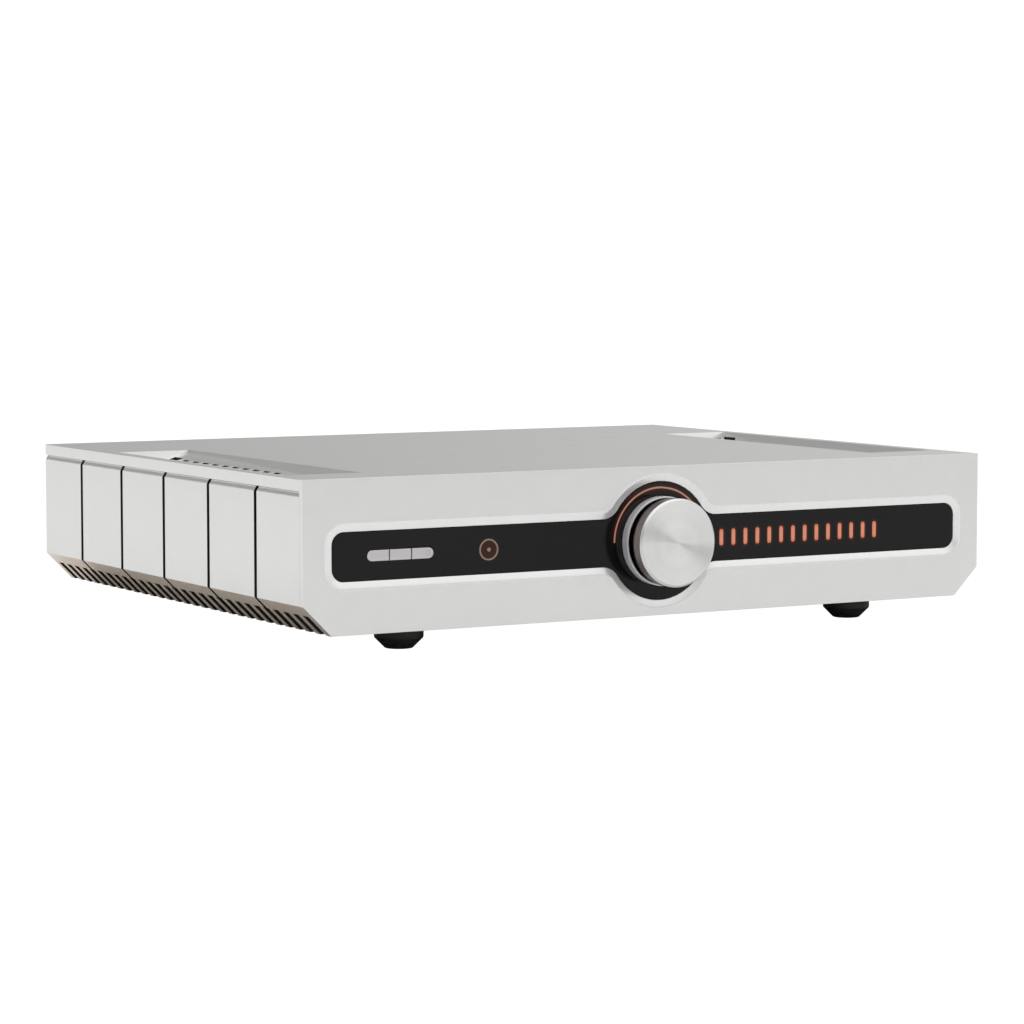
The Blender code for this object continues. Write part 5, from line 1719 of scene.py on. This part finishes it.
@dataclass
class Feet(SubAssembly):
    """Four black feet, upright above and tapered down to the sole."""

    radius: float = 0.0132
    sole_radius: float = 0.0074
    waist_height: float = 0.0058
    tip: float = 0.0010
    ease: float = 0.0006

    def build(self) -> list[Piece]:
        """Turns each foot.

        Returns:
            The feet.
        """
        pieces = []
        for node in ("front_left_foot", "front_right_foot", "rear_left_foot", "rear_right_foot"):
            place, top = middle(node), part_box(node)[1].z
            profile = [(self.tip, 0), (self.sole_radius, 0), (self.radius, self.waist_height),
                       (self.radius, top)]
            profile = rounded(profile, self.ease, closed=False)
            foot = Shape().turned(Axis.Z, (place.x, place.y), profile, ROUND_FACETS).made(f"{node}_turned")
            pieces.append(Piece(levelled(foot), (RUBBER,), (node,)))
        return pieces


@dataclass
class Connectors(SubAssembly):
    """The mains inlet, the mains switch, the signal sockets and the screw terminals on the rear panel."""

    ease: float = 0.0004
    sleeve: float = 0.0041
    insulator: float = 0.0034
    pin_bore: float = 0.0017
    socket_nut: float = 0.0058
    socket_nut_height: float = 0.0016
    bore_depth: float = 0.0080
    socket_pitch: Flat = (0.0220, 0.0180)
    socket_pairs: int = 5
    block_inside: float = 0.0140
    row_drop: float = 0.0080
    shank: float = 0.0045
    stud: float = 0.0032
    stud_bore: float = 0.0021
    stud_bore_depth: float = 0.0120
    cap_mouth: float = 0.0024
    cap_round: float = 0.0008
    cap_ribs: int = 24
    rib_radius: float = 0.0006
    rib_swell: float = 1.5
    rib_margin: float = 0.0020
    nut_bore: float = 0.0023
    nut_ease: float = 0.0003
    nut_knurls: int = 36
    nut_knurl_rows: int = 8
    nut_knurl_depth: float = 0.0003
    nut_margin: float = 0.0005
    mouth: Flat = (0.0230, 0.0150)
    mouth_depth: float = 0.0170
    mark_line: float = 0.0006
    mark_height: float = 0.0040
    mark_proud: float = 0.0001
    rocker_facing: float = 0.9

    def build(self) -> list[Piece]:
        """Makes every connector."""
        return [*self.mains(), *self.sockets(), *self.terminals()]

    def mains(self) -> list[Piece]:
        """The inlet, with its pins, and the switch's frame and rocker.

        Returns:
            The inlet, the switch and its marks.
        """
        inlet = lined(refined("mains_inlet", self.ease, 3), self.on_inlet_pin)
        pieces = [Piece(inlet, (MOULDED, ZINC), ("mains_inlet",))]
        for node in ("mains_switch_frame", "mains_switch_rocker"):
            pieces.append(refined_piece(node, MOULDED, self.ease, 3))
        return pieces + self.rocker_marks()

    def on_inlet_pin(self, face: Polygon) -> bool:
        """Whether a face of the inlet is on one of its three pins.

        Args:
            face: The face.

        Returns:
            True on a pin.
        """
        low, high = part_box("mains_inlet")
        spot, centre = face.center, (low + high) / 2
        floor_y = high.y - self.mouth_depth
        inside = abs(spot.x - centre.x) < self.mouth[0] / 2 and abs(spot.z - centre.z) < self.mouth[1] / 2
        return inside and floor_y + SEAT_GAP < spot.y < high.y - SEAT_GAP

    def rocker_marks(self) -> list[Piece]:
        """A bar on the upper face of the mains rocker and a ring on the lower one.

        Returns:
            The two marks.
        """
        node = "mains_switch_rocker"
        bar = Shape().prism(rectangle((0, 0), (self.mark_line, self.mark_height)), Axis.Y, 0, self.mark_proud)
        outer, inner = (circle((0, 0), self.mark_height / 2 - inset, SMALL_FACETS)
                        for inset in (0, self.mark_line))
        ring = Shape().ring(outer, inner, Axis.Y, 0, self.mark_proud)
        pieces = []
        for name, shape, upper in (("rocker_bar", bar, True), ("rocker_ring", ring, False)):
            faces = [face for face in frame["nodes"][node].data.polygons
                     if face.normal.y > self.rocker_facing and (face.center.z > middle(node).z) == upper]
            area = sum(face.area for face in faces)
            spot = sum((face.center * face.area for face in faces), Vector()) / area
            tilt = math.atan2(faces[0].normal.z, faces[0].normal.y)
            shape.moved(Matrix.Translation(spot) @ Matrix.Rotation(tilt, 4, "X"))
            pieces.append(Piece(shape.made(name), (WHITE,), body=BODY_OF_NODE[node]))
        return pieces

    def sockets(self) -> list[Piece]:
        """The socket blocks, the sleeves, and a white and a red row of insulators.

        Returns:
            The sockets.
        """
        low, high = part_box("analogue_sockets")
        inside_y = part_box("digital_sockets")[0].y + self.block_inside
        first = low.x + self.socket_pitch[0] / 2
        upper = high.z - self.row_drop
        rows = {z: [(first + i * self.socket_pitch[0], high.y, z) for i in range(self.socket_pairs)]
                for z in (upper, upper - self.socket_pitch[1])}
        block = Shape().block(tuple(low), (high.x, inside_y, high.z)).made("analogue_block")
        nut_y, root_y = CASE.rear_y - high.y, inside_y - high.y
        nut_end = nut_y + self.socket_nut_height
        sleeve = [(self.sleeve, root_y), (self.sleeve, nut_y), (self.socket_nut, nut_y),
                  (self.socket_nut, nut_end), (self.sleeve, nut_end), (self.sleeve, 0),
                  (self.insulator, 0), (self.insulator, root_y)]
        plug = [(self.insulator, root_y), (self.insulator, -self.ease), (self.pin_bore, -self.ease),
                (self.pin_bore, -self.bore_depth)]
        spots = [spot for row in rows.values() for spot in row]
        shape = Shape().turned(Axis.Y, (0, 0), rounded(sleeve, self.ease / 2, 2), SMALL_FACETS, bored=True)
        sleeves = REPEATS.made("socket_sleeves", REPEATS.on_spots, shape, GOLD, spots)
        pieces = [Piece(eased(block, self.ease), (MOULDED,), ("analogue_sockets",)), Piece(sleeves, (GOLD,))]
        for row, finish, name in zip(rows.values(), (WHITE, RED), ("white_insulators", "red_insulators")):
            shape = Shape().turned(Axis.Y, (0, 0), plug, SMALL_FACETS)
            pieces.append(Piece(REPEATS.made(name, REPEATS.on_spots, shape, finish, row), (finish,)))
        return [*pieces, refined_piece("digital_sockets", MOULDED, self.ease)]

    def terminals(self) -> list[Piece]:
        """The speaker posts with their ribbed caps, and the earth post's knurled nut.

        Returns:
            The terminals.
        """
        pieces = []
        for name in ("right_plus", "right_minus", "left_plus", "left_minus"):
            pieces += self.speaker_post(name, RED if name.endswith("plus") else GLOSSY)
        return pieces + self.earth_nut()

    def earth_nut(self) -> list[Piece]:
        """The nut on the earth post, and its knurling.

        Returns:
            The nut and its knurling.
        """
        centre, (low, high) = middle("earth_nut"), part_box("earth_nut")
        root = high.x - centre.x - self.nut_knurl_depth
        section = rounded(tube(root, self.nut_bore, low.y, high.y), self.nut_ease)
        place = (centre.x, centre.z)
        nut = Shape().turned(Axis.Y, place, section, SMALL_FACETS, bored=True).made("earth_nut_turned")
        width = math.pi * root / self.nut_knurls
        length = (high.y - low.y - 2 * self.nut_margin) / (self.nut_knurl_rows + 1)
        points = VolumeKnob().knurl(width, length, self.nut_knurl_depth)
        knurl = REPEATS.made(
            "earth_nut_knurling", REPEATS.on_ring, points, GOLD, Count=self.nut_knurls,
            Rows=self.nut_knurl_rows, Radius=root, Row_Pitch=length, Stagger=0.5,
            Centre=(centre.x, low.y + self.nut_margin + length, centre.z),
        )
        return [
            Piece(levelled(nut), (GOLD,), ("earth_nut",)),
            Piece(knurl, (GOLD,), body=BODY_OF_NODE["earth_nut"]),
        ]

    def speaker_post(self, name: str, finish: Finish) -> list[Piece]:
        """One speaker post with its screw cap.

        Args:
            name: The terminal's name.
            finish: The cap's finish.

        Returns:
            The post, the cap and the cap's ribs.
        """
        post, cap = f"{name}_post", f"{name}_cap"
        centre, (low, high) = middle(post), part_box(post)
        cap_low, cap_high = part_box(cap)
        flange = high.x - centre.x
        seat_y, flange_y = CASE.rear_y + SEAT_GAP, cap_low.y - SEAT_GAP
        profile = [(self.shank, low.y), (self.shank, seat_y), (flange, seat_y), (flange, flange_y),
                   (self.stud, flange_y), (self.stud, high.y), (self.stud_bore, high.y),
                   (self.stud_bore, high.y - self.stud_bore_depth)]
        profile = rounded(profile, self.ease, 3, closed=False)
        place = (centre.x, centre.z)
        body = Shape().turned(Axis.Y, place, profile, SMALL_FACETS).made(f"{post}_turned")
        root = cap_high.x - centre.x - self.rib_radius
        thread, inside = self.stud + SEAT_GAP, high.y + SEAT_GAP
        section = [(root, cap_low.y), (root, cap_high.y), (self.cap_mouth, cap_high.y),
                   (self.cap_mouth, inside), (thread, inside), (thread, cap_low.y)]
        screw = Shape().turned(Axis.Y, place, rounded(section, self.cap_round), ROUND_FACETS, bored=True)
        outline = arc((-self.rib_radius / 2, 0), self.rib_radius * self.rib_swell, -90, 90, 6)
        rib = Shape().prism(outline, Axis.Y, 0, cap_high.y - cap_low.y - 2 * self.rib_margin)
        ribs = REPEATS.made(f"{cap}_ribs", REPEATS.on_ring, rib, finish, Count=self.cap_ribs, Rows=1,
                            Radius=root, Row_Pitch=0.0, Stagger=0.0,
                            Centre=(centre.x, cap_low.y + self.rib_margin, centre.z))
        return [
            Piece(levelled(body), (GOLD,), (post,)),
            Piece(levelled(screw.made(f"{cap}_turned")), (finish,), (cap,)),
            Piece(ribs, (finish,), body=BODY_OF_NODE[cap]),
        ]


@dataclass
class RearPrint(SubAssembly):
    """The print on the rear panel: a line round each group of connectors, and plain signs over the posts."""

    line: float = 0.0005
    corner: float = 0.0020
    margin: float = 0.0025
    head: float = 0.0075
    proud: float = 0.00005
    sign: float = 0.0040
    bar: float = 0.0007
    column: Flat = (0.0176, 0.0366)

    def outline(self, shape: Shape, centre: Flat, size: Flat, at_y: float) -> Shape:
        """Adds a rounded line about a middle.

        Args:
            shape: The print.
            centre: The line's middle.
            size: Its width and height.
            at_y: The printed face.

        Returns:
            The print.
        """
        outer = rounded(rectangle(centre, size), self.corner)
        inside = (size[0] - 2 * self.line, size[1] - 2 * self.line)
        inner = rounded(rectangle(centre, inside), self.corner - self.line)
        return shape.ring(outer, inner, Axis.Y, at_y - self.proud, at_y + self.proud)

    def around(self, shape: Shape, first: str, last: str, head: float = 0.0) -> None:
        """Adds a line round the connectors from one node to another.

        Args:
            shape: The print.
            first: The leftmost node.
            last: The rightmost node.
            head: Further room over them.
        """
        low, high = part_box(first)
        left, right = low.x - self.margin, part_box(last)[1].x + self.margin
        floor, top = low.z - self.margin, high.z + self.margin + head
        self.outline(shape, ((left + right) / 2, (floor + top) / 2), (right - left, top - floor), CASE.rear_y)

    def dash(self, shape: Shape, x: float, z: float, size: Flat) -> None:
        """Adds a printed bar about a middle."""
        outline = rectangle((x, z), size)
        shape.prism(outline, Axis.Y, CASE.rear_y - self.proud, CASE.rear_y + self.proud)

    def signs(self, shape: Shape) -> None:
        """Adds a plus and a minus over the speaker posts, and three bars on a stem over the earth post.

        Args:
            shape: The print.
        """
        arm = (self.sign - self.bar) / 2
        for name in ("right_plus", "right_minus", "left_plus", "left_minus"):
            spot, top = middle(f"{name}_post"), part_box(f"{name}_post")[1].z
            z = top + self.sign
            self.dash(shape, spot.x, z, (self.sign, self.bar))
            if name.endswith("plus"):
                for side in Side:
                    self.dash(shape, spot.x, z + side.value * (arm + self.bar) / 2, (self.bar, arm))
        spot, top = middle("earth_post"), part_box("earth_post")[1].z
        for i in range(3):
            self.dash(shape, spot.x, top + self.sign - 2 * i * self.bar, (self.sign * (1 - i / 3), self.bar))
        self.dash(shape, spot.x, top + self.sign + (arm + self.bar) / 2, (self.bar, arm))

    def build(self) -> list[Piece]:
        """Prints the lines and the signs.

        Returns:
            The print.
        """
        print_shape = Shape()
        self.around(print_shape, "mains_inlet", "mains_switch_frame")
        self.around(print_shape, "right_plus_post", "right_minus_post", self.head)
        self.around(print_shape, "left_plus_post", "left_minus_post", self.head)
        self.around(print_shape, "digital_sockets", "digital_sockets")
        self.signs(print_shape)
        low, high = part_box("analogue_sockets")
        step = Connectors.socket_pitch[0]
        first = (low.x + step / 2, CASE.rear_y, (low.z + high.z) / 2)
        template = self.outline(Shape(), (0, 0), self.column, 0.0)
        columns = REPEATS.made("socket_lines", REPEATS.on_line, template, PRINT,
                               Count=Connectors.socket_pairs, First=first, Step=(step, 0, 0))
        return [Piece(print_shape.made("rear_lines"), (PRINT,)), Piece(columns, (PRINT,))]


@dataclass(frozen=True)
class BoardField:
    """A level field of a board, and the grid and seed of the components that fill it."""

    name: str
    board: str
    low: Flat
    high: Flat
    grid: tuple[int, int]
    seed: int


@dataclass
class InnerParts(SubAssembly):
    """The transformer, the boards with their components, the capacitors, heat sinks and transistors."""

    ease: float = 0.0003
    winding_bore: float = 0.0160
    winding_round: float = 0.0080
    tape_turns: int = 48
    tape_lift: float = 0.00025
    tape_share: float = 0.90
    crimp_height: float = 0.0045
    crimp_depth: float = 0.0008
    sleeve_lip: float = 0.0025
    top_sink: float = 0.0008
    stripe_turn: float = 40.0
    stripe_proud: float = 0.0001
    tip: float = 0.0010
    chip_size: Spot = (0.0060, 0.0040, 0.0016)
    chip_legs: int = 3
    leg_reach: float = 0.7
    chip_fill: float = 0.30
    can_size: Flat = (0.0032, 0.0080)
    can_facets: int = 12
    can_lip: float = 0.8
    can_dish: Flat = (0.7, 0.96)
    can_fill: float = 0.18
    can_shift: float = 0.0058
    barrel_size: Flat = (0.0012, 0.0060)
    barrel_facets: int = 10
    barrel_share: float = 0.9
    lead_reach: float = 1.5
    barrel_fill: float = 0.35
    barrel_shift: float = 0.0052
    fields: tuple[BoardField, ...] = (
        BoardField("amplifier", "amplifier_board", (-0.128, 0.022), (0.128, 0.086), (22, 7), 3),
        BoardField("supply", "power_supply_board", (0.010, -0.055), (0.120, -0.034), (10, 3), 5),
        BoardField("input", "input_board", (0.056, 0.120), (0.190, 0.148), (12, 4), 7),
    )

    def build(self) -> list[Piece]:
        """Makes the wound and the turned pieces, refines the rest and fills the boards.

        Returns:
            The inner parts.
        """
        pieces = [*self.transformer(), *self.capacitor("left_capacitor"), *self.capacitor("right_capacitor")]
        pieces += self.components()
        finish_of = {"transformer_dish": ZINC, "transformer_bolt": ZINC}
        finish_of |= {f"{side}_heat_sink": SINK for side in ("left", "right")}
        finish_of |= {f"{side}_{end}_transistor": MOULDED
                      for side in ("left", "right") for end in ("rear", "front")}
        return pieces + [refined_piece(node, finish, self.ease) for node, finish in finish_of.items()]

    def winding(self, lift: float) -> list[Flat]:
        """The transformer's section from its axis and its middle height, lifted off its surface.

        Args:
            lift: How far it is lifted.

        Returns:
            The section.
        """
        low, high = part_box("transformer")
        inner, outer = self.winding_bore - lift, (high.x - low.x) / 2 + lift
        half = (high.z - low.z) / 2 + lift
        corners = [(inner, -half), (outer, -half), (outer, half), (inner, half)]
        return rounded(corners, self.winding_round + lift, 2 * EASE_STEPS)

    def transformer(self) -> list[Piece]:
        """The round transformer with its bands of tape.

        Returns:
            The winding and its tape.
        """
        centre = middle("transformer")
        section = [(radius, centre.z + rise) for radius, rise in self.winding(0.0)]
        place = (centre.x, centre.y)
        core = Shape().turned(Axis.Z, place, section, ROUND_FACETS, bored=True).made("winding_core")
        tape = Shape()
        half = self.tape_share * math.pi / self.tape_turns
        rings = []
        for under, over in zip(self.winding(-self.tape_lift), self.winding(self.tape_lift)):
            width = over[0] * half
            corners = ((under, -width), (over, -width), (over, width), (under, width))
            rings.append([Vector((*spot, across)) for spot, across in corners])
        tape.band(rings, ring_shaped=True)
        bands = REPEATS.made("winding_tape", REPEATS.on_ring, tape, WRAP, Count=self.tape_turns, Rows=1,
                             Radius=0.0, Row_Pitch=0.0, Stagger=0.0, Centre=tuple(centre),
                             Turn=(math.pi / 2, 0, 0))
        return [Piece(levelled(core), (WRAP,), ("transformer",)), Piece(bands, (WRAP,))]

    def capacitor(self, node: str) -> list[Piece]:
        """One large capacitor: a crimped sleeve, a bright sunk top and a pale stripe.

        Args:
            node: The capacitor's node.

        Returns:
            The can and its stripe.
        """
        low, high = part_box(node)
        spot, radius = middle(node), (high.x - low.x) / 2
        crimp, waist = low.z + self.crimp_height, radius - self.crimp_depth
        lip, top = radius - self.sleeve_lip, high.z - self.top_sink
        side = [(self.tip, low.z), (radius, low.z), (radius, crimp - self.crimp_depth), (waist, crimp),
                (radius, crimp + self.crimp_depth), (radius, high.z), (lip, high.z)]
        can = Shape()
        sleeve = rounded(side, self.crimp_depth, closed=False)
        lower = can.band([self.circle(spot, size, z) for size, z in sleeve])
        can.face(lower[0])
        can.slot = 1
        dish = ((lip, high.z), (lip, top), (lip / 2, top))
        upper = can.band([self.circle(spot, size, z) for size, z in dish])
        can.face(upper[-1])
        can.merged()
        place = (spot.x, spot.y)
        start, end = -90 - self.stripe_turn / 2, -90 + self.stripe_turn / 2
        outer = arc(place, radius + self.stripe_proud, start, end, EASE_STEPS * 2)
        inner = arc(place, radius - self.stripe_proud, end, start, EASE_STEPS * 2)
        margin = 2 * self.crimp_depth
        stripe = Shape().prism(outer + inner, Axis.Z, crimp + margin, high.z - margin)
        return [Piece(levelled(can.made(f"{node}_can")), (SLEEVE, BRIGHT), (node,)),
                Piece(stripe.made(f"{node}_stripe"), (WHITE,))]

    def circle(self, spot: Vector, radius: float, z: float) -> list[Vector]:
        """A level circle about a place."""
        return Axis.Z.loop(z, circle((spot.x, spot.y), radius, ROUND_FACETS))

    def chip(self) -> Shape:
        """A small moulded chip with a row of feet along two sides.

        Returns:
            The chip.
        """
        x, y, z = self.chip_size
        foot = x / (2 * self.chip_legs + 1)
        shape = Shape().block((-x / 2, -y / 2, z / 4), (x / 2, y / 2, z))
        for i in range(self.chip_legs):
            start = -x / 2 + (2 * i + 1) * foot
            for side in Side:
                near, far = sorted((side.value * y / 2, side.value * y * self.leg_reach))
                shape.block((start, near, 0), (start + foot, far, z / 3))
        return shape

    def can(self) -> Shape:
        """A small upright capacitor.

        Returns:
            The capacitor.
        """
        radius, height = self.can_size
        inner, floor = self.can_dish
        profile = [(radius / 8, 0), (radius, 0), (radius, height), (radius * self.can_lip, height),
                   (radius * inner, height * floor)]
        return Shape().turned(Axis.Z, (0, 0), rounded(profile, radius / 8, 2, closed=False), self.can_facets)

    def barrel(self) -> Shape:
        """A small lying resistor with its two leads.

        Returns:
            The resistor.
        """
        radius, length = self.barrel_size
        wire, half = radius / 4, length / 2
        lead, body = half * self.lead_reach, half * self.barrel_share
        profile = [(wire, -lead), (wire, -half), (radius, -body), (radius, body), (wire, half), (wire, lead)]
        return Shape().turned(Axis.X, (0, radius), profile, self.barrel_facets)

    def components(self) -> list[Piece]:
        """Chips, small capacitors and resistors on the three level boards.

        Returns:
            The components.
        """
        pieces = []
        for field in self.fields:
            low, high, seed = field.low, field.high, field.seed
            centre = ((low[0] + high[0]) / 2, (low[1] + high[1]) / 2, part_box(field.board)[1].z)
            size = {"Width": high[0] - low[0], "Length": high[1] - low[1],
                    "Columns": field.grid[0], "Lines": field.grid[1]}
            for kind, shape, finish, share, shift in (
                ("chips", self.chip(), MOULDED, self.chip_fill, (0.0, 0.0)),
                ("cans", self.can(), SLEEVE, self.can_fill, (self.can_shift, 0.0)),
                ("resistors", self.barrel(), WRAP, self.barrel_fill, (0.0, self.barrel_shift)),
            ):
                place = (centre[0] + shift[0], centre[1] + shift[1], centre[2])
                obj = REPEATS.made(f"{field.name}_{kind}", REPEATS.on_board, shape, finish, Share=share,
                                   Seed=seed, Centre=place, **size)
                pieces.append(Piece(obj, (finish,)))
                seed += 1
        return pieces


@dataclass
class Studio:
    """The floor, the soft light and the camera at the photo's angle."""

    camera_place: Spot = (-0.9506, -1.6631, 0.2119)
    pitch: float = -4.66
    yaw: float = -29.97
    lens: float = 114.7
    sensor: float = 36.0
    floor_size: float = 60.0
    floor_left: Colour = (0.98, 0.98, 0.98)
    floor_right: Colour = (0.90, 0.90, 0.90)
    floor_painted_shade: Colour = (0.80, 0.69, 0.58)
    floor_split: Flat = (-0.50, -0.15)
    floor_roughness: float = 0.9
    floor_gloss: float = 0.1
    floor_lift: float = 0.95
    shade_y: float = 0.03
    shade_depth: float = 1.15
    shade_edge: Flat = (0.245, 0.205)
    backdrop: float = 1.1
    horizon_front: float = 0.36
    horizon_back_left: float = 0.38
    horizon_back_right: float = 0.66
    middle: float = 1.05
    zenith: float = 1.20
    front_tilt: float = 0.30
    front_rise: Flat = (0.18, 0.46)
    back_rise: Flat = (0.50, 0.95)
    zenith_rise: Flat = (0.60, 0.95)
    back_turn: Flat = (-0.2, 0.2)
    right_turn: Flat = (0.2, 0.8)

    def build(self) -> None:
        """Sets up the floor, the world and the camera."""
        self.floor()
        self.world()
        self.camera()
        bpy.context.scene.view_settings.view_transform = "Standard"

    def camera(self) -> None:
        """Places the camera."""
        data = bpy.data.cameras.new("photo_camera")
        data.sensor_width = self.sensor
        data.lens = self.lens
        camera = linked("photo_camera", data)
        camera.location = self.camera_place
        camera.rotation_euler = (math.radians(90 + self.pitch), 0, math.radians(self.yaw))
        bpy.context.scene.camera = camera

    def floor(self) -> None:
        """Lays a plain pale floor whose shadows show softly; in the light it bounces, its colour carries
        painted shade, darker and warmer under the case, and painted light, lighter on the left than on the
        right.
        """
        shape = Shape()
        outline = rectangle((0, 0), (self.floor_size, self.floor_size))
        shape.face([shape.mesh.verts.new(spot) for spot in Axis.Z.loop(0, outline)])
        floor = shape.made("studio_floor")
        material = bpy.data.materials.new("pale_floor")
        material.use_nodes = True
        pen = Pen(material.node_tree)
        shader = material.node_tree.nodes["Principled BSDF"]
        x, y, _ = pen.parts(pen.node("ShaderNodeTexCoord").outputs["Object"])
        beside = pen.mix(pen.span(x, *self.floor_split), self.floor_left, self.floor_right)
        back = pen.math("ABSOLUTE", pen.math("SUBTRACT", y, self.shade_y))
        back = pen.math("MULTIPLY", back, self.shade_depth)
        shade = pen.span(pen.math("MAXIMUM", pen.math("ABSOLUTE", x), back), *self.shade_edge)
        # Painted shade under the case and painted light to the left, in the colour that the floor bounces.
        pen.feed(shader.inputs["Base Color"], pen.mix(shade, beside, self.floor_painted_shade))
        shader.inputs["Roughness"].default_value = self.floor_roughness
        shader.inputs["Specular IOR Level"].default_value = self.floor_gloss
        white = pen.node("ShaderNodeEmission", {"Color": (1.0, 1.0, 1.0, 1.0), "Strength": self.backdrop})
        seen = pen.node("ShaderNodeLightPath").outputs["Is Camera Ray"]
        share = pen.math("MULTIPLY", seen, self.floor_lift)
        mixed = pen.node("ShaderNodeMixShader", {0: share, 1: shader.outputs[0], 2: white.outputs[0]})
        pen.feed(material.node_tree.nodes["Material Output"].inputs["Surface"], mixed.outputs[0])
        floor.data.materials.append(material)

    def blend(self, pen: Pen, share: object, one: object, two: object) -> Socket:
        """A number between two numbers."""
        rest = pen.math("MULTIPLY", pen.math("SUBTRACT", 1.0, share), one)
        return pen.math("MULTIPLY_ADD", share, two, rest)

    def world(self) -> None:
        """Lights the object from a soft dome, brightest overhead and dimmer low at the back."""
        world = bpy.data.worlds.new("soft_dome")
        bpy.context.scene.world = world
        world.use_nodes = True
        tree = world.node_tree
        tree.nodes.clear()
        pen = Pen(tree)
        direction = pen.node("ShaderNodeTexCoord").outputs["Generated"]
        x, y, z = pen.parts(direction)
        back = pen.span(y, *self.back_turn)
        behind = pen.span(x, *self.right_turn, self.horizon_back_left, self.horizon_back_right)
        low = self.blend(pen, back, self.horizon_front, behind)
        tilted = pen.math("MULTIPLY_ADD", x, self.front_tilt, z)
        rise = self.blend(pen, back, pen.span(tilted, *self.front_rise), pen.span(z, *self.back_rise))
        high = self.blend(pen, pen.span(z, *self.zenith_rise), self.middle, self.zenith)
        level = self.blend(pen, rise, low, high)
        dome = pen.node("ShaderNodeBackground", {"Color": (1.0, 1.0, 1.0, 1.0), "Strength": level})
        white = pen.node("ShaderNodeBackground", {"Color": (1.0, 1.0, 1.0, 1.0), "Strength": self.backdrop})
        seen = pen.node("ShaderNodeLightPath").outputs["Is Camera Ray"]
        mixed = pen.node("ShaderNodeMixShader", {0: seen, 1: dome.outputs[0], 2: white.outputs[0]})
        pen.node("ShaderNodeOutputWorld", {"Surface": mixed.outputs[0]})


def dress_rest() -> None:
    """Gives the frame nodes that stay their own finish."""
    for name, obj in frame["nodes"].items():
        if obj.hide_render:
            continue
        obj.data.materials.clear()
        obj.data.materials.append(FINISH_OF_SLOT[SLOT_OF_NODE[name]].material())
        LOG.info("%s stays as it is in the frame", name)


def main() -> None:
    """Builds the studio and every sub-assembly."""
    logging.basicConfig(level=logging.INFO, format="%(name)s: %(message)s")
    Studio().build()
    for assembly in (FrontPanel(), DisplayWindow(), PushButtons(), VolumeKnob(), CaseShells(), Feet(),
                     Connectors(), RearPrint(), InnerParts()):
        for piece in assembly.build():
            assembly.dress(piece)
    dress_rest()


if __name__ == "__main__":
    main()
